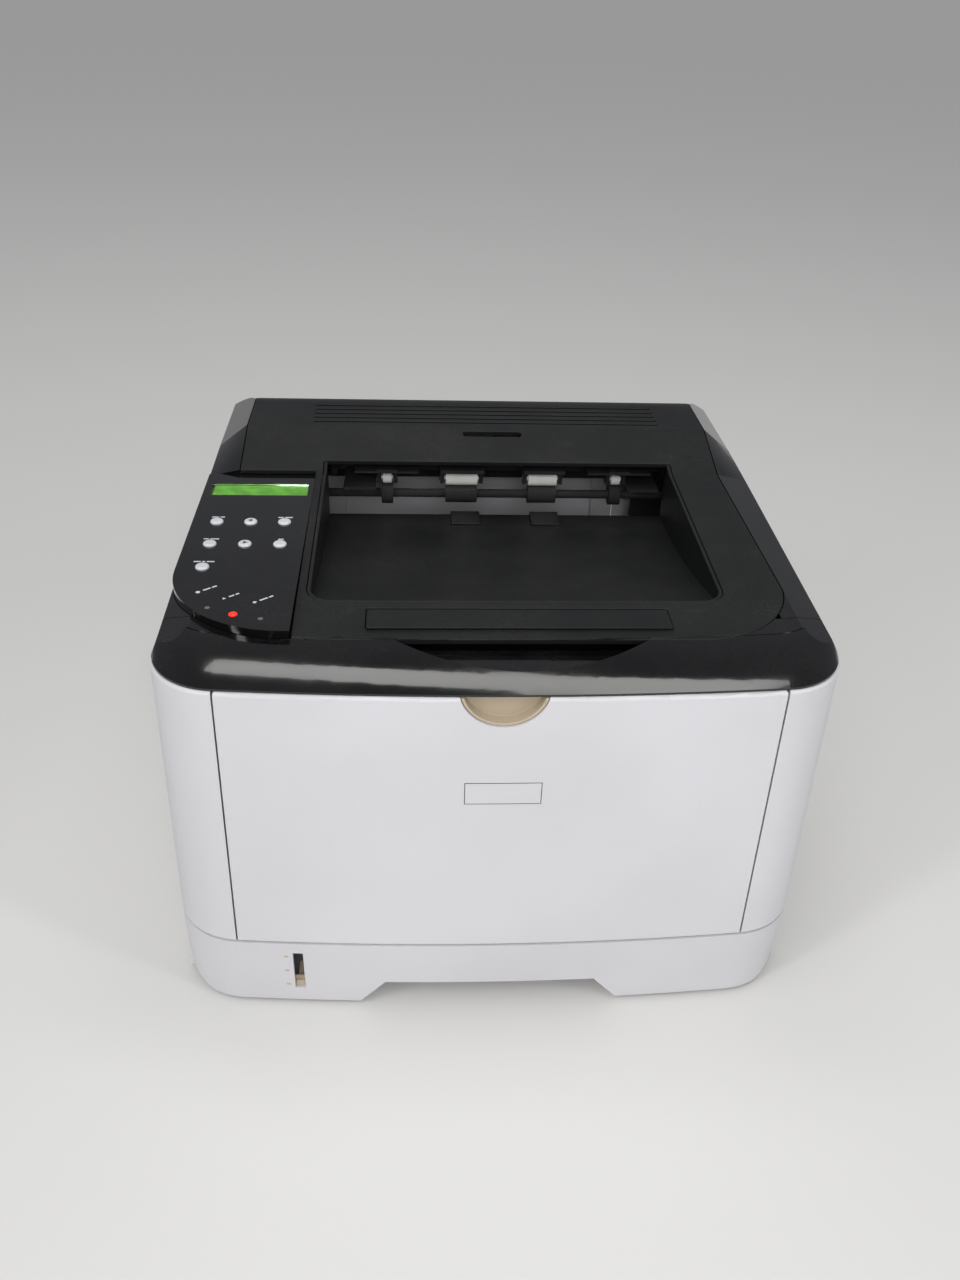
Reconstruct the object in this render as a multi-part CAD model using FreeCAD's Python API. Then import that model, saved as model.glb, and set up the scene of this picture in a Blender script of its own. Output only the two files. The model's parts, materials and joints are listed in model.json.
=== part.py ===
"""Desktop A4 laser printer, built as an assembly. Millimetres, +X right, front at -Y, +Z up.
The origin is the centre of the footprint, on the surface that the printer stands on."""

import FreeCAD, Part
import math
import os

V = FreeCAD.Vector
os.makedirs("parts", exist_ok=True)

# ---------------------------------------------------------------- overall sizes
body_width = 370.0
body_depth = 392.0
body_height = 262.0
foot_height = 3.2
wall = 3.0  # moulded covers
seam = 0.4  # half of the gap between neighbouring covers
seat_gap = 0.3  # between fixed pieces that rest on each other
running_gap = 0.05  # radial, a shaft in its hole
front_crown = 6.0  # how far the middle of the front stands before its ends
crown_half_width = 148.0
corner_radius = 40.0
rear_radius = 25.0
rear_cover_swell = 6.0  # the rear door stands out of the back wall by this
rim_z = 230.0  # top of the white covers
cassette_top_z = 57.0
rim_rounding = 2.4
seam_rounding = 0.8
post_seam_y = -157.5  # flank seam between front cover and side covers

# ---------------------------------------------------------------- top
deck_front_y = -158.0
deck_front_z = 241.6
deck_rear_y = 45.0
deck_rear_z = 249.2
plateau_front_y = 95.0
plateau_rear_y = 141.0
shoulder_x = 161.0
trim_edge_x = 181.0
trim_edge_drop = 4.5  # trim edge below the deck beside it
trim_rear_edge_z = 246.0
top_inset = 1.0  # black top stands this far inside the white rim
skin = 3.0
band_low_z = 231.5
dome_levels = 5
dome_side_inset = 2.6
bin_left_x = -106.0
bin_right_x = 130.0
bin_rear_y = 56.0
bin_front_y = -120.0
bin_corner_radius = 14.0
bin_floor_rear_z = 212.0
bin_floor_front_z = 240.0
bin_sag = 7.0
tray_wall = 2.2
fence_left_x = -72.0
fence_right_x = 94.0
fence_rear_y = -127.0
fence_front_y = -147.0
fence_thickness = 4.4
fence_lip = 1.5  # the fence reaches this far over the front band
scoop_front_y = -182.0
slot_left_x = -11.0
slot_right_x = 29.4
louvre_left_x = -116.0
louvre_right_x = 129.0
louvre_first_y = 102.0
louvre_pitch = 8.0
louvre_count = 5
louvre_width = 2.4

# ---------------------------------------------------------------- control panel
panel_z = 246.3
panel_left_x = -181.0
panel_right_x = -111.0
panel_rear_y = 45.0
panel_front_y = -157.0
panel_corner_radius = 66.0
panel_thickness = 2.5
button_radius = 4.0
button_columns = (-166.0, -145.5, -125.0)
button_rows = (-28.0, -58.0, -87.0)
lcd_left_x = -176.0
lcd_right_x = -112.0
lcd_front_y = 11.7
lcd_rear_y = 30.0
alert_x = -142.0
alert_y = -140.0

# ---------------------------------------------------------------- front cover and bypass door
door_half_width = 148.0
hinge_y = -189.0
hinge_z = 70.0
hinge_rod_radius = 1.5
hinge_rod_half_length = 92.0
hinge_eye_radius = 3.2
hinge_groove = 0.4  # clearance round the eyes and the rod inside the bypass door
pull_half_width = 23.0
pull_depth_z = 18.0
pull_depth_y = 13.0
cover_panel_y = -176.0

# ---------------------------------------------------------------- rear door
rear_pin_y = 188.5
rear_pin_z = 75.8
rear_pin_radius = 1.0
rear_eye_radius = 2.6

# ---------------------------------------------------------------- cassette
cassette_lean = 5.6
fascia_corner_radius = 20.0
notch_half_width_low = 78.6
notch_half_width_top = 62.7
notch_top_z = 21.7
gauge_left_x = -116.5
gauge_right_x = -110.5
gauge_low_z = 14.3
gauge_high_z = 47.2
tunnel_half_width = 142.0
tunnel_wall = 2.5
box_half_width = 141.0
box_front_y = -170.0
box_rear_y = 150.0
box_low_z = 6.0
box_high_z = 56.0
box_wall = 2.5
paper_half_width = 105.3
paper_rear_y = 140.5
lift_half_width = 72.0
lift_hinge_y = 0.0
lift_hinge_z = 15.0
lift_length = 156.0
lift_angle = 12.0
door_swing_gap = 2.0  # the lower edge of the bypass door dips by nearly this as it opens

# ---------------------------------------------------------------- paper path and drive
side_plate_x = 150.0
side_plate_thickness = 1.5
drum_y, drum_z, drum_radius = -30.0, 118.0, 15.0
transfer_radius = 6.5
fuser_y, nip_z, fuser_radius = 108.0, 103.0, 13.0
feed_y, feed_z, feed_radius = -138.0, 76.0, 15.0
exit_y, exit_z, exit_shaft_radius = 78.0, 219.0, 3.0
exit_roller_radius = 6.4
idler_radius = 5.3
outer_idler_radius = 4.3
motor_y, motor_z = 48.0, 140.0
gear_module = 1.5
pinion_teeth, middle_teeth, drum_teeth = 12, 32, 34
gear_x = 153.0
gear_width = 8.0
pressure_angle = 25.0
backlash = 0.2

half_width = body_width / 2
front_y = -body_depth / 2
rear_wall_y = body_depth / 2 - rear_cover_swell
deck_slope = (deck_rear_z - deck_front_z) / (deck_rear_y - deck_front_y)
fence_hinge_y = fence_rear_y - fence_thickness / 2 - seat_gap
LOW, FAR = -20.0, 400.0


# ---------------------------------------------------------------- shapes
def box(x0, x1, y0, y1, z0, z1):
    return Part.makeBox(x1 - x0, y1 - y0, z1 - z0, V(x0, y0, z0))


def rod(axis, start, length, radius):
    return Part.makeCylinder(radius, length, V(*start), V(*axis))


def rod_x(x0, x1, y, z, radius):
    return rod((1, 0, 0), (x0, y, z), x1 - x0, radius)


def fuse(shapes):
    return shapes[0].multiFuse(shapes[1:]).removeSplitter()


def prism(points, depth):
    """Flat polygon through the points, extruded along depth."""
    corners = [V(*p) for p in points]
    return Part.Face(Part.makePolygon(corners + corners[:1])).extrude(V(*depth))


def prism_yz(points, x0, x1):
    return prism([(x0, y, z) for y, z in points], (x1 - x0, 0, 0))


def prism_xz(points, y0, y1):
    return prism([(x, y0, z) for x, z in points], (0, y1 - y0, 0))


def face_of(edges):
    return Part.Face(Part.Wire(Part.__sortEdges__(edges)))


def round_rect(x0, x1, y0, y1, radius, z0, z1):
    """Upright block with four round corners."""
    block = box(x0, x1, y0, y1, z0, z1)
    upright = [e for e in block.Edges if abs(e.BoundBox.ZLength - (z1 - z0)) < 1e-6]
    return block.makeFillet(radius, upright)


def deck_z(y):
    """Height of the black deck in front of the plateau."""
    return deck_front_z + deck_slope * (y - deck_front_y)


def outline(inset, z, lean=0.0):
    """Plan outline of the housing, inset from its outer face: crowned front and round corners."""
    crown_radius = (crown_half_width**2 + front_crown**2) / (2 * front_crown)
    crown_y = front_y + crown_radius
    corner_x = half_width - corner_radius
    reach = crown_radius - corner_radius
    corner_y = crown_y - math.sqrt(reach**2 - corner_x**2)
    crown_end = (corner_x / reach * (crown_radius - inset),
                 crown_y + (corner_y - crown_y) / reach * (crown_radius - inset))
    middle = math.atan2(crown_end[1] - corner_y, crown_end[0] - corner_x) / 2
    radius = corner_radius - inset
    bend = (corner_x + radius * math.cos(middle), corner_y + radius * math.sin(middle))
    side = half_width - inset
    rear = rear_wall_y - inset
    rear_x = half_width - rear_radius
    rear_y = rear_wall_y - rear_radius
    turn = (rear_radius - inset) * math.sqrt(0.5)

    def at(x, y):
        return V(x, y + lean, z)

    edges = [Part.Arc(at(-crown_end[0], crown_end[1]), at(0, front_y + inset),
                      at(*crown_end)).toShape()]
    for s in (1, -1):
        edges.append(Part.Arc(at(s * crown_end[0], crown_end[1]), at(s * bend[0], bend[1]),
                              at(s * side, corner_y)).toShape())
        edges.append(Part.makeLine(at(s * side, corner_y), at(s * side, rear_y)))
        edges.append(Part.Arc(at(s * side, rear_y), at(s * (rear_x + turn), rear_y + turn),
                              at(s * rear_x, rear)).toShape())
    edges.append(Part.makeLine(at(rear_x, rear), at(-rear_x, rear)))
    return face_of(edges)


def housing(inset, z0, z1):
    return outline(inset, z0).extrude(V(0, 0, z1 - z0))


def ring(z0, z1, inset, thickness):
    return housing(inset, z0, z1).cut(housing(inset + thickness, z0, z1))


def arc_middle(start, end, direction):
    """Middle of the arc from start to end that leaves end along direction, in a plane."""
    length = math.hypot(*direction)
    normal = (direction[1] / length, -direction[0] / length)
    chord = (start[0] - end[0], start[1] - end[1])
    radius = (chord[0] ** 2 + chord[1] ** 2) / (2 * (chord[0] * normal[0] + chord[1] * normal[1]))
    centre = (end[0] + normal[0] * radius, end[1] + normal[1] * radius)
    a = (start[0] - centre[0], start[1] - centre[1])
    b = (end[0] - centre[0], end[1] - centre[1])
    both = (a[0] + b[0], a[1] + b[1])
    scale = abs(radius) / math.hypot(*both)
    return (centre[0] + both[0] * scale, centre[1] + both[1] * scale)


def gear(teeth, y, z, x0, width, bore, turned):
    """Spur gear about X. turned is the angle of the middle of one tooth, from +Y towards +Z."""
    pitch = gear_module * teeth / 2
    alpha = math.radians(pressure_angle)
    base = pitch * math.cos(alpha)
    tip = pitch + 0.85 * gear_module
    root = pitch - 1.1 * gear_module
    half = (math.pi * gear_module / 2 - backlash) / (2 * pitch)
    flank = []
    for n in range(4):
        r = max(base, root) + (tip - max(base, root)) * n / 3
        a = math.acos(min(1.0, base / r))
        flank.append((r, half + (math.tan(alpha) - alpha) - (math.tan(a) - a)))
    if root < base:
        flank.insert(0, (root, flank[0][1]))
    points = []
    for n in range(teeth):
        centre = turned + 2 * math.pi * n / teeth
        side = [(r, centre - a) for r, a in flank] + [(r, centre + a) for r, a in reversed(flank)]
        points += [(y + r * math.cos(a), z + r * math.sin(a)) for r, a in side]
    return prism_yz(points, x0, x0 + width).cut(rod_x(x0 - 1, x0 + width + 1, y, z, bore))


def export(shape, name):
    shape.exportStep("parts/" + name + ".step")


# ---------------------------------------------------------------- chassis
def make_base_frame():
    pan = housing(wall + seat_gap, foot_height, foot_height + 2).common(
        box(-half_width, half_width, post_seam_y - 2.5, FAR, LOW, FAR))
    shelf = box(-side_plate_x - 15, side_plate_x + 15, -60, 184, 62, 64)
    beam = box(-side_plate_x - 2, side_plate_x + 2, -168, -160, 60.5, 68)
    pieces = [pan, shelf, beam]
    for s in (-1, 1):
        x0, x1 = sorted((s * tunnel_half_width, s * (tunnel_half_width + tunnel_wall)))
        pieces.append(box(x0, x1, -168, 184, foot_height, 64))
        x0, x1 = sorted((s * 56, s * 62))
        arm = box(x0, x1, hinge_y, -165, hinge_z - 2.8, hinge_z + hinge_eye_radius)
        arm = arm.fuse(rod_x(x0, x1, hinge_y, hinge_z, hinge_eye_radius))
        pieces.append(arm.cut(rod_x(x0 - 1, x1 + 1, hinge_y, hinge_z, hinge_rod_radius)))
        x0, x1 = sorted((s * (side_plate_x - 10), s * side_plate_x))
        pieces.append(box(x0, x1, -160, -60, 62, 64))
    rear_bridge = box(-side_plate_x, side_plate_x, 150, 153, 64, 215)
    mouth = box(-125, 125, 140, 160, 84, 200)
    pieces.append(rear_bridge.cut(mouth))
    export(fuse(pieces), "base_frame")
    feet = [rod((0, 0, 1), (x, y, 0), foot_height, 11) for x in (-150, 150) for y in (-128, 160)]
    export(Part.makeCompound(feet), "rubber_feet")


def shaft_holes():
    """Y, Z and radius of each hole through the side plates."""
    transfer_z = drum_z - drum_radius - seat_gap - transfer_radius
    return [
        (drum_y, drum_z, 4.0),
        (drum_y, transfer_z, 3.0),
        (fuser_y, nip_z + fuser_radius + seat_gap / 2, 5.0),
        (fuser_y, nip_z - fuser_radius - seat_gap / 2, 5.0),
        (feed_y, feed_z, 4.0),
        (exit_y, exit_z, exit_shaft_radius),
    ]


def make_side_plates():
    plates = []
    for s in (-1, 1):
        x0, x1 = sorted((s * side_plate_x, s * (side_plate_x + side_plate_thickness)))
        edge = [(-160, 68.3), (-160, 64), (149.7, 64), (149.7, 200), (120, 228), (30, 228), (-20, 205),
                (-120, 205), (-150, 180)]
        plate = prism_yz([(y, z) for y, z in edge], x0, x1)
        for y, z, r in shaft_holes():
            plate = plate.cut(rod_x(x0 - 1, x1 + 1, y, z, r + running_gap))
        if s > 0:
            plate = plate.cut(rod_x(x0 - 1, x1 + 1, motor_y, motor_z, 3.0 + running_gap))
            ay, az = middle_gear_place()
            plate = plate.fuse(rod_x(x0, gear_x + gear_width + 2, ay, az, 3.0))
        plates.append(plate)
    export(Part.makeCompound(plates), "side_plates")


# ---------------------------------------------------------------- white covers
def top_lip():
    return ring(rim_z - 2.5, rim_z, 0, 9)


def outer_top_edges(shape, height):
    """Edges on the outer face at a height, without those of the ends and the inside."""
    found = []
    for e in shape.Edges:
        b = e.BoundBox
        if b.ZLength > 1e-6 or abs(b.ZMax - height) > 1e-6:
            continue
        p = e.valueAt((e.FirstParameter + e.LastParameter) / 2)
        if not housing(0.05, height - 1, height + 1).isInside(p, 1e-6, True):
            if max(b.XLength, b.YLength) > 9.5:
                found.append(e)
    return found


def outer_end_edges(shape):
    """Upright edges on the outer face, where a cover ends at a seam."""
    found = []
    for e in shape.Edges:
        b = e.BoundBox
        if b.ZLength < 100 or max(b.XLength, b.YLength) > 1e-6:
            continue
        if not housing(0.05, 0, 10).isInside(V(b.XMin, b.YMin, 5), 1e-6, True):
            found.append(e)
    return found


def make_side_covers():
    shell = ring(foot_height, rim_z, 0, wall).fuse(top_lip()).removeSplitter()
    for s, name in ((-1, "left_cover"), (1, "right_cover")):
        x0, x1 = sorted((s * 135.4, s * (half_width + 1)))
        cover = shell.common(box(x0, x1, post_seam_y + seam, FAR, LOW, FAR))
        cover = cover.makeFillet(seam_rounding, outer_end_edges(cover))
        cover = cover.makeFillet(rim_rounding, outer_top_edges(cover, rim_z))
        y0, y1, z0, z1 = (112, 152, 160, 200) if s > 0 else (-60, 40, 170, 200)
        slots = int((z1 - z0) / 8)
        for n in range(slots):
            z = z0 + 8 * n
            cover = cover.cut(box(s * half_width - 4, s * half_width + 4, y0, y1, z, z + 3.5))
        for n in range(5):
            z = 84 + 8 * n
            cover = cover.cut(box(s * half_width - 4, s * half_width + 4, -60, 20, z, z + 3.5))
        if s < 0:
            cover = cover.cut(box(-157.3, -136.7, 160, FAR, 91.7, 120.3))
            cover = cover.cut(box(-157.3, -136.7, 160, FAR, 135.7, 184.3))
            cover = cover.cut(box(-half_width - 1, -half_width + 4, 138.7, 151.3, 85.7, 108.3))
        export(cover, name)


def make_rear():
    wall_piece = ring(foot_height, rim_z, 0, wall).fuse(top_lip()).removeSplitter()
    wall_piece = wall_piece.common(box(-134.6, 134.6, 150, FAR, LOW, FAR))
    wall_piece = wall_piece.cut(box(-118, 118, 150, FAR, 72, 196))
    for s in (-1, 1):
        x0, x1 = sorted((s * 112, s * 119))
        wall_piece = wall_piece.fuse(rod_x(x0, x1, rear_pin_y, rear_pin_z, rear_pin_radius))
    export(wall_piece.removeSplitter(), "rear_frame_cover")
    door = box(-117.4, 117.4, rear_wall_y - wall, rear_wall_y, 72.6, 195.4)
    face = box(-108, 108, rear_wall_y, body_depth / 2, 84, 188)
    rims = [e for e in face.Edges if e.BoundBox.YLength < 1e-6 and e.BoundBox.YMin > rear_wall_y + 1]
    face = face.makeFillet(3.0, rims)
    door = door.fuse(face)
    door = door.cut(box(-100, 100, rear_wall_y - wall - 1, body_depth / 2 - wall, 90, 182))
    door = door.cut(rod_x(-20, 20, body_depth / 2 + 6, 188, 11))
    for s in (-1, 1):
        x0, x1 = sorted((s * 104, s * 117.4))
        door = door.fuse(rod_x(x0, x1, rear_pin_y, rear_pin_z, rear_eye_radius))
    for s in (-1, 1):
        x0, x1 = sorted((s * 111.8, s * 118))
        door = door.cut(rod_x(x0, x1, rear_pin_y, rear_pin_z, rear_pin_radius + running_gap))
    export(door.removeSplitter(), "rear_cover")


# ---------------------------------------------------------------- black top
def round_front(drop):
    """Stack of plan outlines that lean back as they rise, so that the front and its corners are convex."""
    start = (front_y + top_inset, band_low_z)
    end = (deck_front_y, deck_front_z)
    slope = math.atan(deck_slope)
    chord = (start[0] - end[0], start[1] - end[1])
    radius = math.hypot(*chord) ** 2 / (2 * (chord[0] * math.sin(slope) - chord[1] * math.cos(slope)))
    centre = (end[0] + radius * math.sin(slope), end[1] - radius * math.cos(slope))
    first = math.atan2(start[1] - centre[1], start[0] - centre[0])
    last = math.atan2(end[1] - centre[1], end[0] - centre[0])
    wires = []
    for n in range(dome_levels + 1):
        angle = first + (last - first) * n / dome_levels
        inset = top_inset + dome_side_inset * (n / dome_levels) ** 2
        lean = centre[0] + radius * math.cos(angle) - front_y - inset
        wires.append(outline(inset + drop, centre[1] + radius * math.sin(angle) - drop, lean).OuterWire)
    dome = Part.makeLoft(wires, True, False)
    above = Part.Face(wires[-1]).extrude(V(0, 0, 60))
    return fuse([housing(top_inset + drop, 190, band_low_z - drop), dome, above])


def crown(drop):
    """Everything under the black top skin, or under a surface drop below that skin."""
    stations = [
        (-230.0, 165.0, deck_z(-230), deck_z(-230) - trim_edge_drop),
        (-110.0, 165.0, deck_z(-110), deck_z(-110) - trim_edge_drop),
        (deck_rear_y, shoulder_x, deck_rear_z, deck_rear_z - trim_edge_drop),
        (plateau_front_y, shoulder_x, body_height, trim_rear_edge_z),
        (230.0, shoulder_x, body_height, trim_rear_edge_z),
    ]
    base_x = half_width - top_inset - drop
    low = rim_z + seat_gap if drop == 0 else rim_z - 20
    wires = []
    for y, inner, top, edge in stations:
        half = [(base_x, low), (trim_edge_x - drop, edge - drop), (inner - drop * 0.7, top - drop)]
        points = [V(x, y, z) for x, z in half] + [V(-x, y, z) for x, z in reversed(half)]
        wires.append(Part.makePolygon(points + points[:1]))
    body = Part.makeLoft(wires, True, True)
    rear_start = (rear_wall_y - top_inset - drop, rim_z + 2 - drop)
    rear_end = (plateau_rear_y - drop * 0.3, body_height - drop)
    rear_mid = arc_middle(rear_start, rear_end, (1, -0.05))

    def at(p):
        return V(-200, p[0], p[1])

    corners = [rear_end, (rear_end[0] - 3, 290), (-240, 290), (-240, 150), (rear_start[0], 150),
               rear_start]
    edges = [Part.Arc(at(rear_start), at(rear_mid), at(rear_end)).toShape()]
    for a, b in zip(corners, corners[1:]):
        edges.append(Part.makeLine(at(a), at(b)))
    profile = face_of(edges).extrude(V(400, 0, 0))
    dome = round_front(drop)
    return body.common(profile).common(dome).common(housing(top_inset + drop, 180, 300))


def panel_region(grow, z0, z1):
    """Upright prism over the control panel, with its round front left corner."""
    x0, x1 = panel_left_x - grow, panel_right_x + grow
    y0, y1 = panel_front_y - grow, panel_rear_y + grow
    radius = panel_corner_radius + grow
    turn = radius * (1 - math.sqrt(0.5))
    far_x = x0 + radius if x0 + radius < x1 else x1
    edges = [
        Part.makeLine(V(x0, y1, z0), V(x1, y1, z0)),
        Part.makeLine(V(x1, y1, z0), V(x1, y0, z0)),
        Part.makeLine(V(x1, y0, z0), V(far_x, y0, z0)),
        Part.Arc(V(far_x, y0, z0), V(x0 + turn, y0 + turn, z0), V(x0, y0 + radius, z0)).toShape(),
        Part.makeLine(V(x0, y0 + radius, z0), V(x0, y1, z0)),
    ]
    return face_of(edges).extrude(V(0, 0, z1 - z0))


def deck_region(shrink):
    """Upright prism over the matte deck, inside the trims and behind the front band."""
    x1 = shoulder_x + 4 - shrink
    y0 = deck_front_y + shrink
    radius = 62.0
    turn = radius * (1 - math.sqrt(0.5))
    edges = [
        Part.makeLine(V(-shoulder_x + shrink, 300, 200), V(shoulder_x - shrink, 300, 200)),
        Part.makeLine(V(shoulder_x - shrink, 300, 200), V(shoulder_x - shrink, deck_rear_y, 200)),
        Part.makeLine(V(shoulder_x - shrink, deck_rear_y, 200), V(x1, -106, 200)),
        Part.Arc(V(x1, -106, 200), V(x1 - 15.6, -106 - 33.9 + shrink, 200), V(x1 - 57, y0,
                                                                              200)).toShape(),
        Part.makeLine(V(x1 - 57, y0, 200), V(-115, y0, 200)),
        Part.makeLine(V(-115, y0, 200), V(-shoulder_x + shrink, -130, 200)),
        Part.makeLine(V(-shoulder_x + shrink, -130, 200), V(-shoulder_x + shrink, 300, 200)),
    ]
    return face_of(edges).extrude(V(0, 0, 100))


def scoop(grow, z0, z1):
    """Upright prism over the finger recess in front of the stop fence."""
    x0, x1 = fence_left_x + 3 - grow, fence_right_x - 3 + grow
    y0, y1 = scoop_front_y - grow, fence_front_y + 1
    middle = (x0 + x1) / 2
    edges = [
        Part.makeLine(V(x0, y1, z0), V(x1, y1, z0)),
        Part.Arc(V(x1, y1, z0), V(middle, y0, z0), V(x0, y1, z0)).toShape(),
    ]
    return face_of(edges).extrude(V(0, 0, z1 - z0))


def make_top():
    shell = crown(0).cut(crown(skin))
    deck = deck_region(seam / 2)
    corner = prism([(-half_width - 5, -128, 200), (-shoulder_x, -137, 200), (-100, -137, 200),
                    (100, -137, 200),
                    (shoulder_x, -137, 200), (half_width + 5, -128, 200), (half_width + 5, -230, 200),
                    (-half_width - 5, -230, 200)], (0, 0, 100))
    fence = box(fence_left_x, fence_right_x, fence_front_y, fence_rear_y, 238.4, 300)
    panel = panel_region(seat_gap, 200, 300)
    top = shell.common(deck).cut(panel)
    pocket_floor = box(fence_left_x - 2.5, fence_right_x + 2.5, fence_front_y - 2,
                       fence_rear_y + 2.5, 235.6, 240.6)
    top = top.fuse(pocket_floor.common(deck_region(seam / 2))).cut(fence)
    opening = round_rect(bin_left_x, bin_right_x, bin_front_y, bin_rear_y + 40, bin_corner_radius,
                         200, 300)
    opening = opening.common(box(-FAR, FAR, -FAR, bin_rear_y, LOW, FAR))
    top = top.cut(opening)
    top = top.cut(round_rect(slot_left_x, slot_right_x, 84.5, 90, 1.5, 255.5, 300))
    for n in range(louvre_count):
        y = louvre_first_y + n * louvre_pitch
        top = top.cut(box(louvre_left_x, louvre_right_x, y, y + louvre_width, 200, 300))
    export(top.removeSplitter(), "top_cover")
    rest = shell.cut(deck_region(-seam / 2)).cut(panel)
    pocket = scoop(2.5, 232.5, 239.5).cut(deck_region(-seam / 2)).common(crown(0.5))
    front = rest.common(corner).fuse(pocket).cut(scoop(0, 235, 300)).cut(fence)
    export(front.removeSplitter(), "front_band")
    trims = rest.cut(corner).cut(box(-shoulder_x + 5, shoulder_x - 5, -FAR, FAR, LOW, FAR))
    shifted = trims.cut(prism([(-half_width - 5, -128 + seam, 200), (-shoulder_x, -137 + seam, 200),
                               (shoulder_x, -137 + seam, 200), (half_width + 5, -128 + seam, 200),
                               (half_width + 5, -230, 200), (-half_width - 5, -230, 200)], (0, 0, 100)))
    export(shifted, "side_trims")


def make_output_tray():
    x0, x1 = bin_left_x + seat_gap, bin_right_x - seat_gap
    y0, y1 = bin_front_y + seat_gap, bin_rear_y + 2

    def floor_face(drop):
        a, b = (y1, bin_floor_rear_z - drop), (y0, bin_floor_front_z - drop)
        mid = ((a[0] + b[0]) / 2, (a[1] + b[1]) / 2 - bin_sag)
        edges = [
            Part.Arc(V(x0, *a), V(x0, *mid), V(x0, *b)).toShape(),
            Part.makeLine(V(x0, *b), V(x0, b[0], 300)),
            Part.makeLine(V(x0, b[0], 300), V(x0, a[0], 300)),
            Part.makeLine(V(x0, a[0], 300), V(x0, *a)),
        ]
        return face_of(edges).extrude(V(x1 - x0, 0, 0))

    outer = round_rect(x0, x1, y0, y1 + 40, bin_corner_radius - seat_gap, 190, 300)
    outer = outer.common(box(-FAR, FAR, -FAR, y1, LOW, FAR))
    inner = round_rect(x0 + tray_wall, x1 - tray_wall, y0 + tray_wall, y1 + 40,
                       bin_corner_radius - seat_gap - tray_wall, 190, 300)
    under = prism_yz([(y0 - 1, deck_z(y0) - 0.4), (deck_rear_y, deck_rear_z - 0.4),
                      (bin_rear_y - 0.3, 251.4),
                      (bin_rear_y - 0.3, 246), (y1 + 1, 236), (y1 + 1, 190), (y0 - 1,
                                                                              190)], x0 - 1, x1 + 1)
    floor = floor_face(2.5).cut(floor_face(0)).common(outer)
    walls = outer.cut(inner).common(floor_face(2.5)).common(under)
    pads = [box(x, x + 20, 38, y1, bin_floor_rear_z - 1, bin_floor_rear_z + 2.5) for x in (-20, 35)]
    tray = fuse([floor, walls] + pads)
    export(tray, "output_tray")
    low = 238.4 + seat_gap
    x0, x1 = fence_left_x + seat_gap, fence_right_x - seat_gap
    flap = box(x0, x1, fence_front_y + seat_gap, fence_hinge_y, low, low + fence_thickness)
    flap = flap.fuse(box(x0, x1, fence_front_y - fence_lip, fence_front_y + 1, deck_front_z + 0.7,
                         low + fence_thickness))
    flap = flap.fuse(rod_x(fence_left_x + seat_gap, fence_right_x - seat_gap, fence_hinge_y,
                           low + fence_thickness / 2,
                           fence_thickness / 2))
    export(flap.removeSplitter(), "stop_fence")


# ---------------------------------------------------------------- control panel
def make_panel():
    low = panel_z - 9.5
    cap = panel_region(0, low, panel_z).cut(panel_region(-panel_thickness, low - 1,
                                                         panel_z - panel_thickness))
    cap = cap.cut(box(lcd_left_x, lcd_right_x - 2, lcd_front_y, lcd_rear_y, low - 1, panel_z + 1))
    posts = []
    for x in (-172, -120):
        for y in (-75, 37):
            posts.append(rod((0, 0, 1), (x, y, low - 2), panel_z - low + 1, 2.2))
    cap = fuse([cap] + posts)
    places = [(x, y) for y in button_rows for x in button_columns]
    places = [p for p in places if p[1] != button_rows[2] or p[0] == button_columns[0]]
    names = ["button_back", "button_up", "button_ok", "button_cancel", "button_down", "button_go",
             "button_secure"]
    for (x, y), name in zip(places, names):
        cap = cap.cut(rod((0, 0, 1), (x, y, low - 5), 30, button_radius + running_gap))
        head = rod((0, 0, 1), (x, y, panel_z - 3.2), 4.6, button_radius)
        rim = [e for e in head.Edges if e.BoundBox.ZMin > panel_z + 1]
        head = head.makeFillet(1.2, rim)
        stem = rod((0, 0, 1), (x, y, low - 0.6), 8, 1.6)
        export(head.fuse(stem).removeSplitter(), name)
    cap = cap.cut(rod((0, 0, 1), (alert_x, alert_y, low - 1), 20, 1.6))
    export(cap.removeSplitter(), "panel_plate")
    lens = rod((0, 0, 1), (alert_x, alert_y, low - 2.6), 12.3, 1.6 - running_gap)
    export(lens, "alert_lens")
    export(box(lcd_left_x + 1, lcd_right_x - 3, lcd_front_y + 1, lcd_rear_y - 1, low - 2.6,
               panel_z - 2.2), "lcd_module")
    glass = box(lcd_left_x + seat_gap, lcd_right_x - 2 - seat_gap, lcd_front_y + seat_gap,
                lcd_rear_y - seat_gap,
                panel_z - 1.9, panel_z - 0.4)
    export(glass, "lcd_glass")
    board_top = low - 2.6 - seat_gap
    board = box(-176.5, -115, -100, 40, board_top - 1.6, board_top)
    board = board.fuse(box(-150, -135, -20, -5, board_top - 5, board_top))
    export(board.removeSplitter(), "panel_board")


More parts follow.
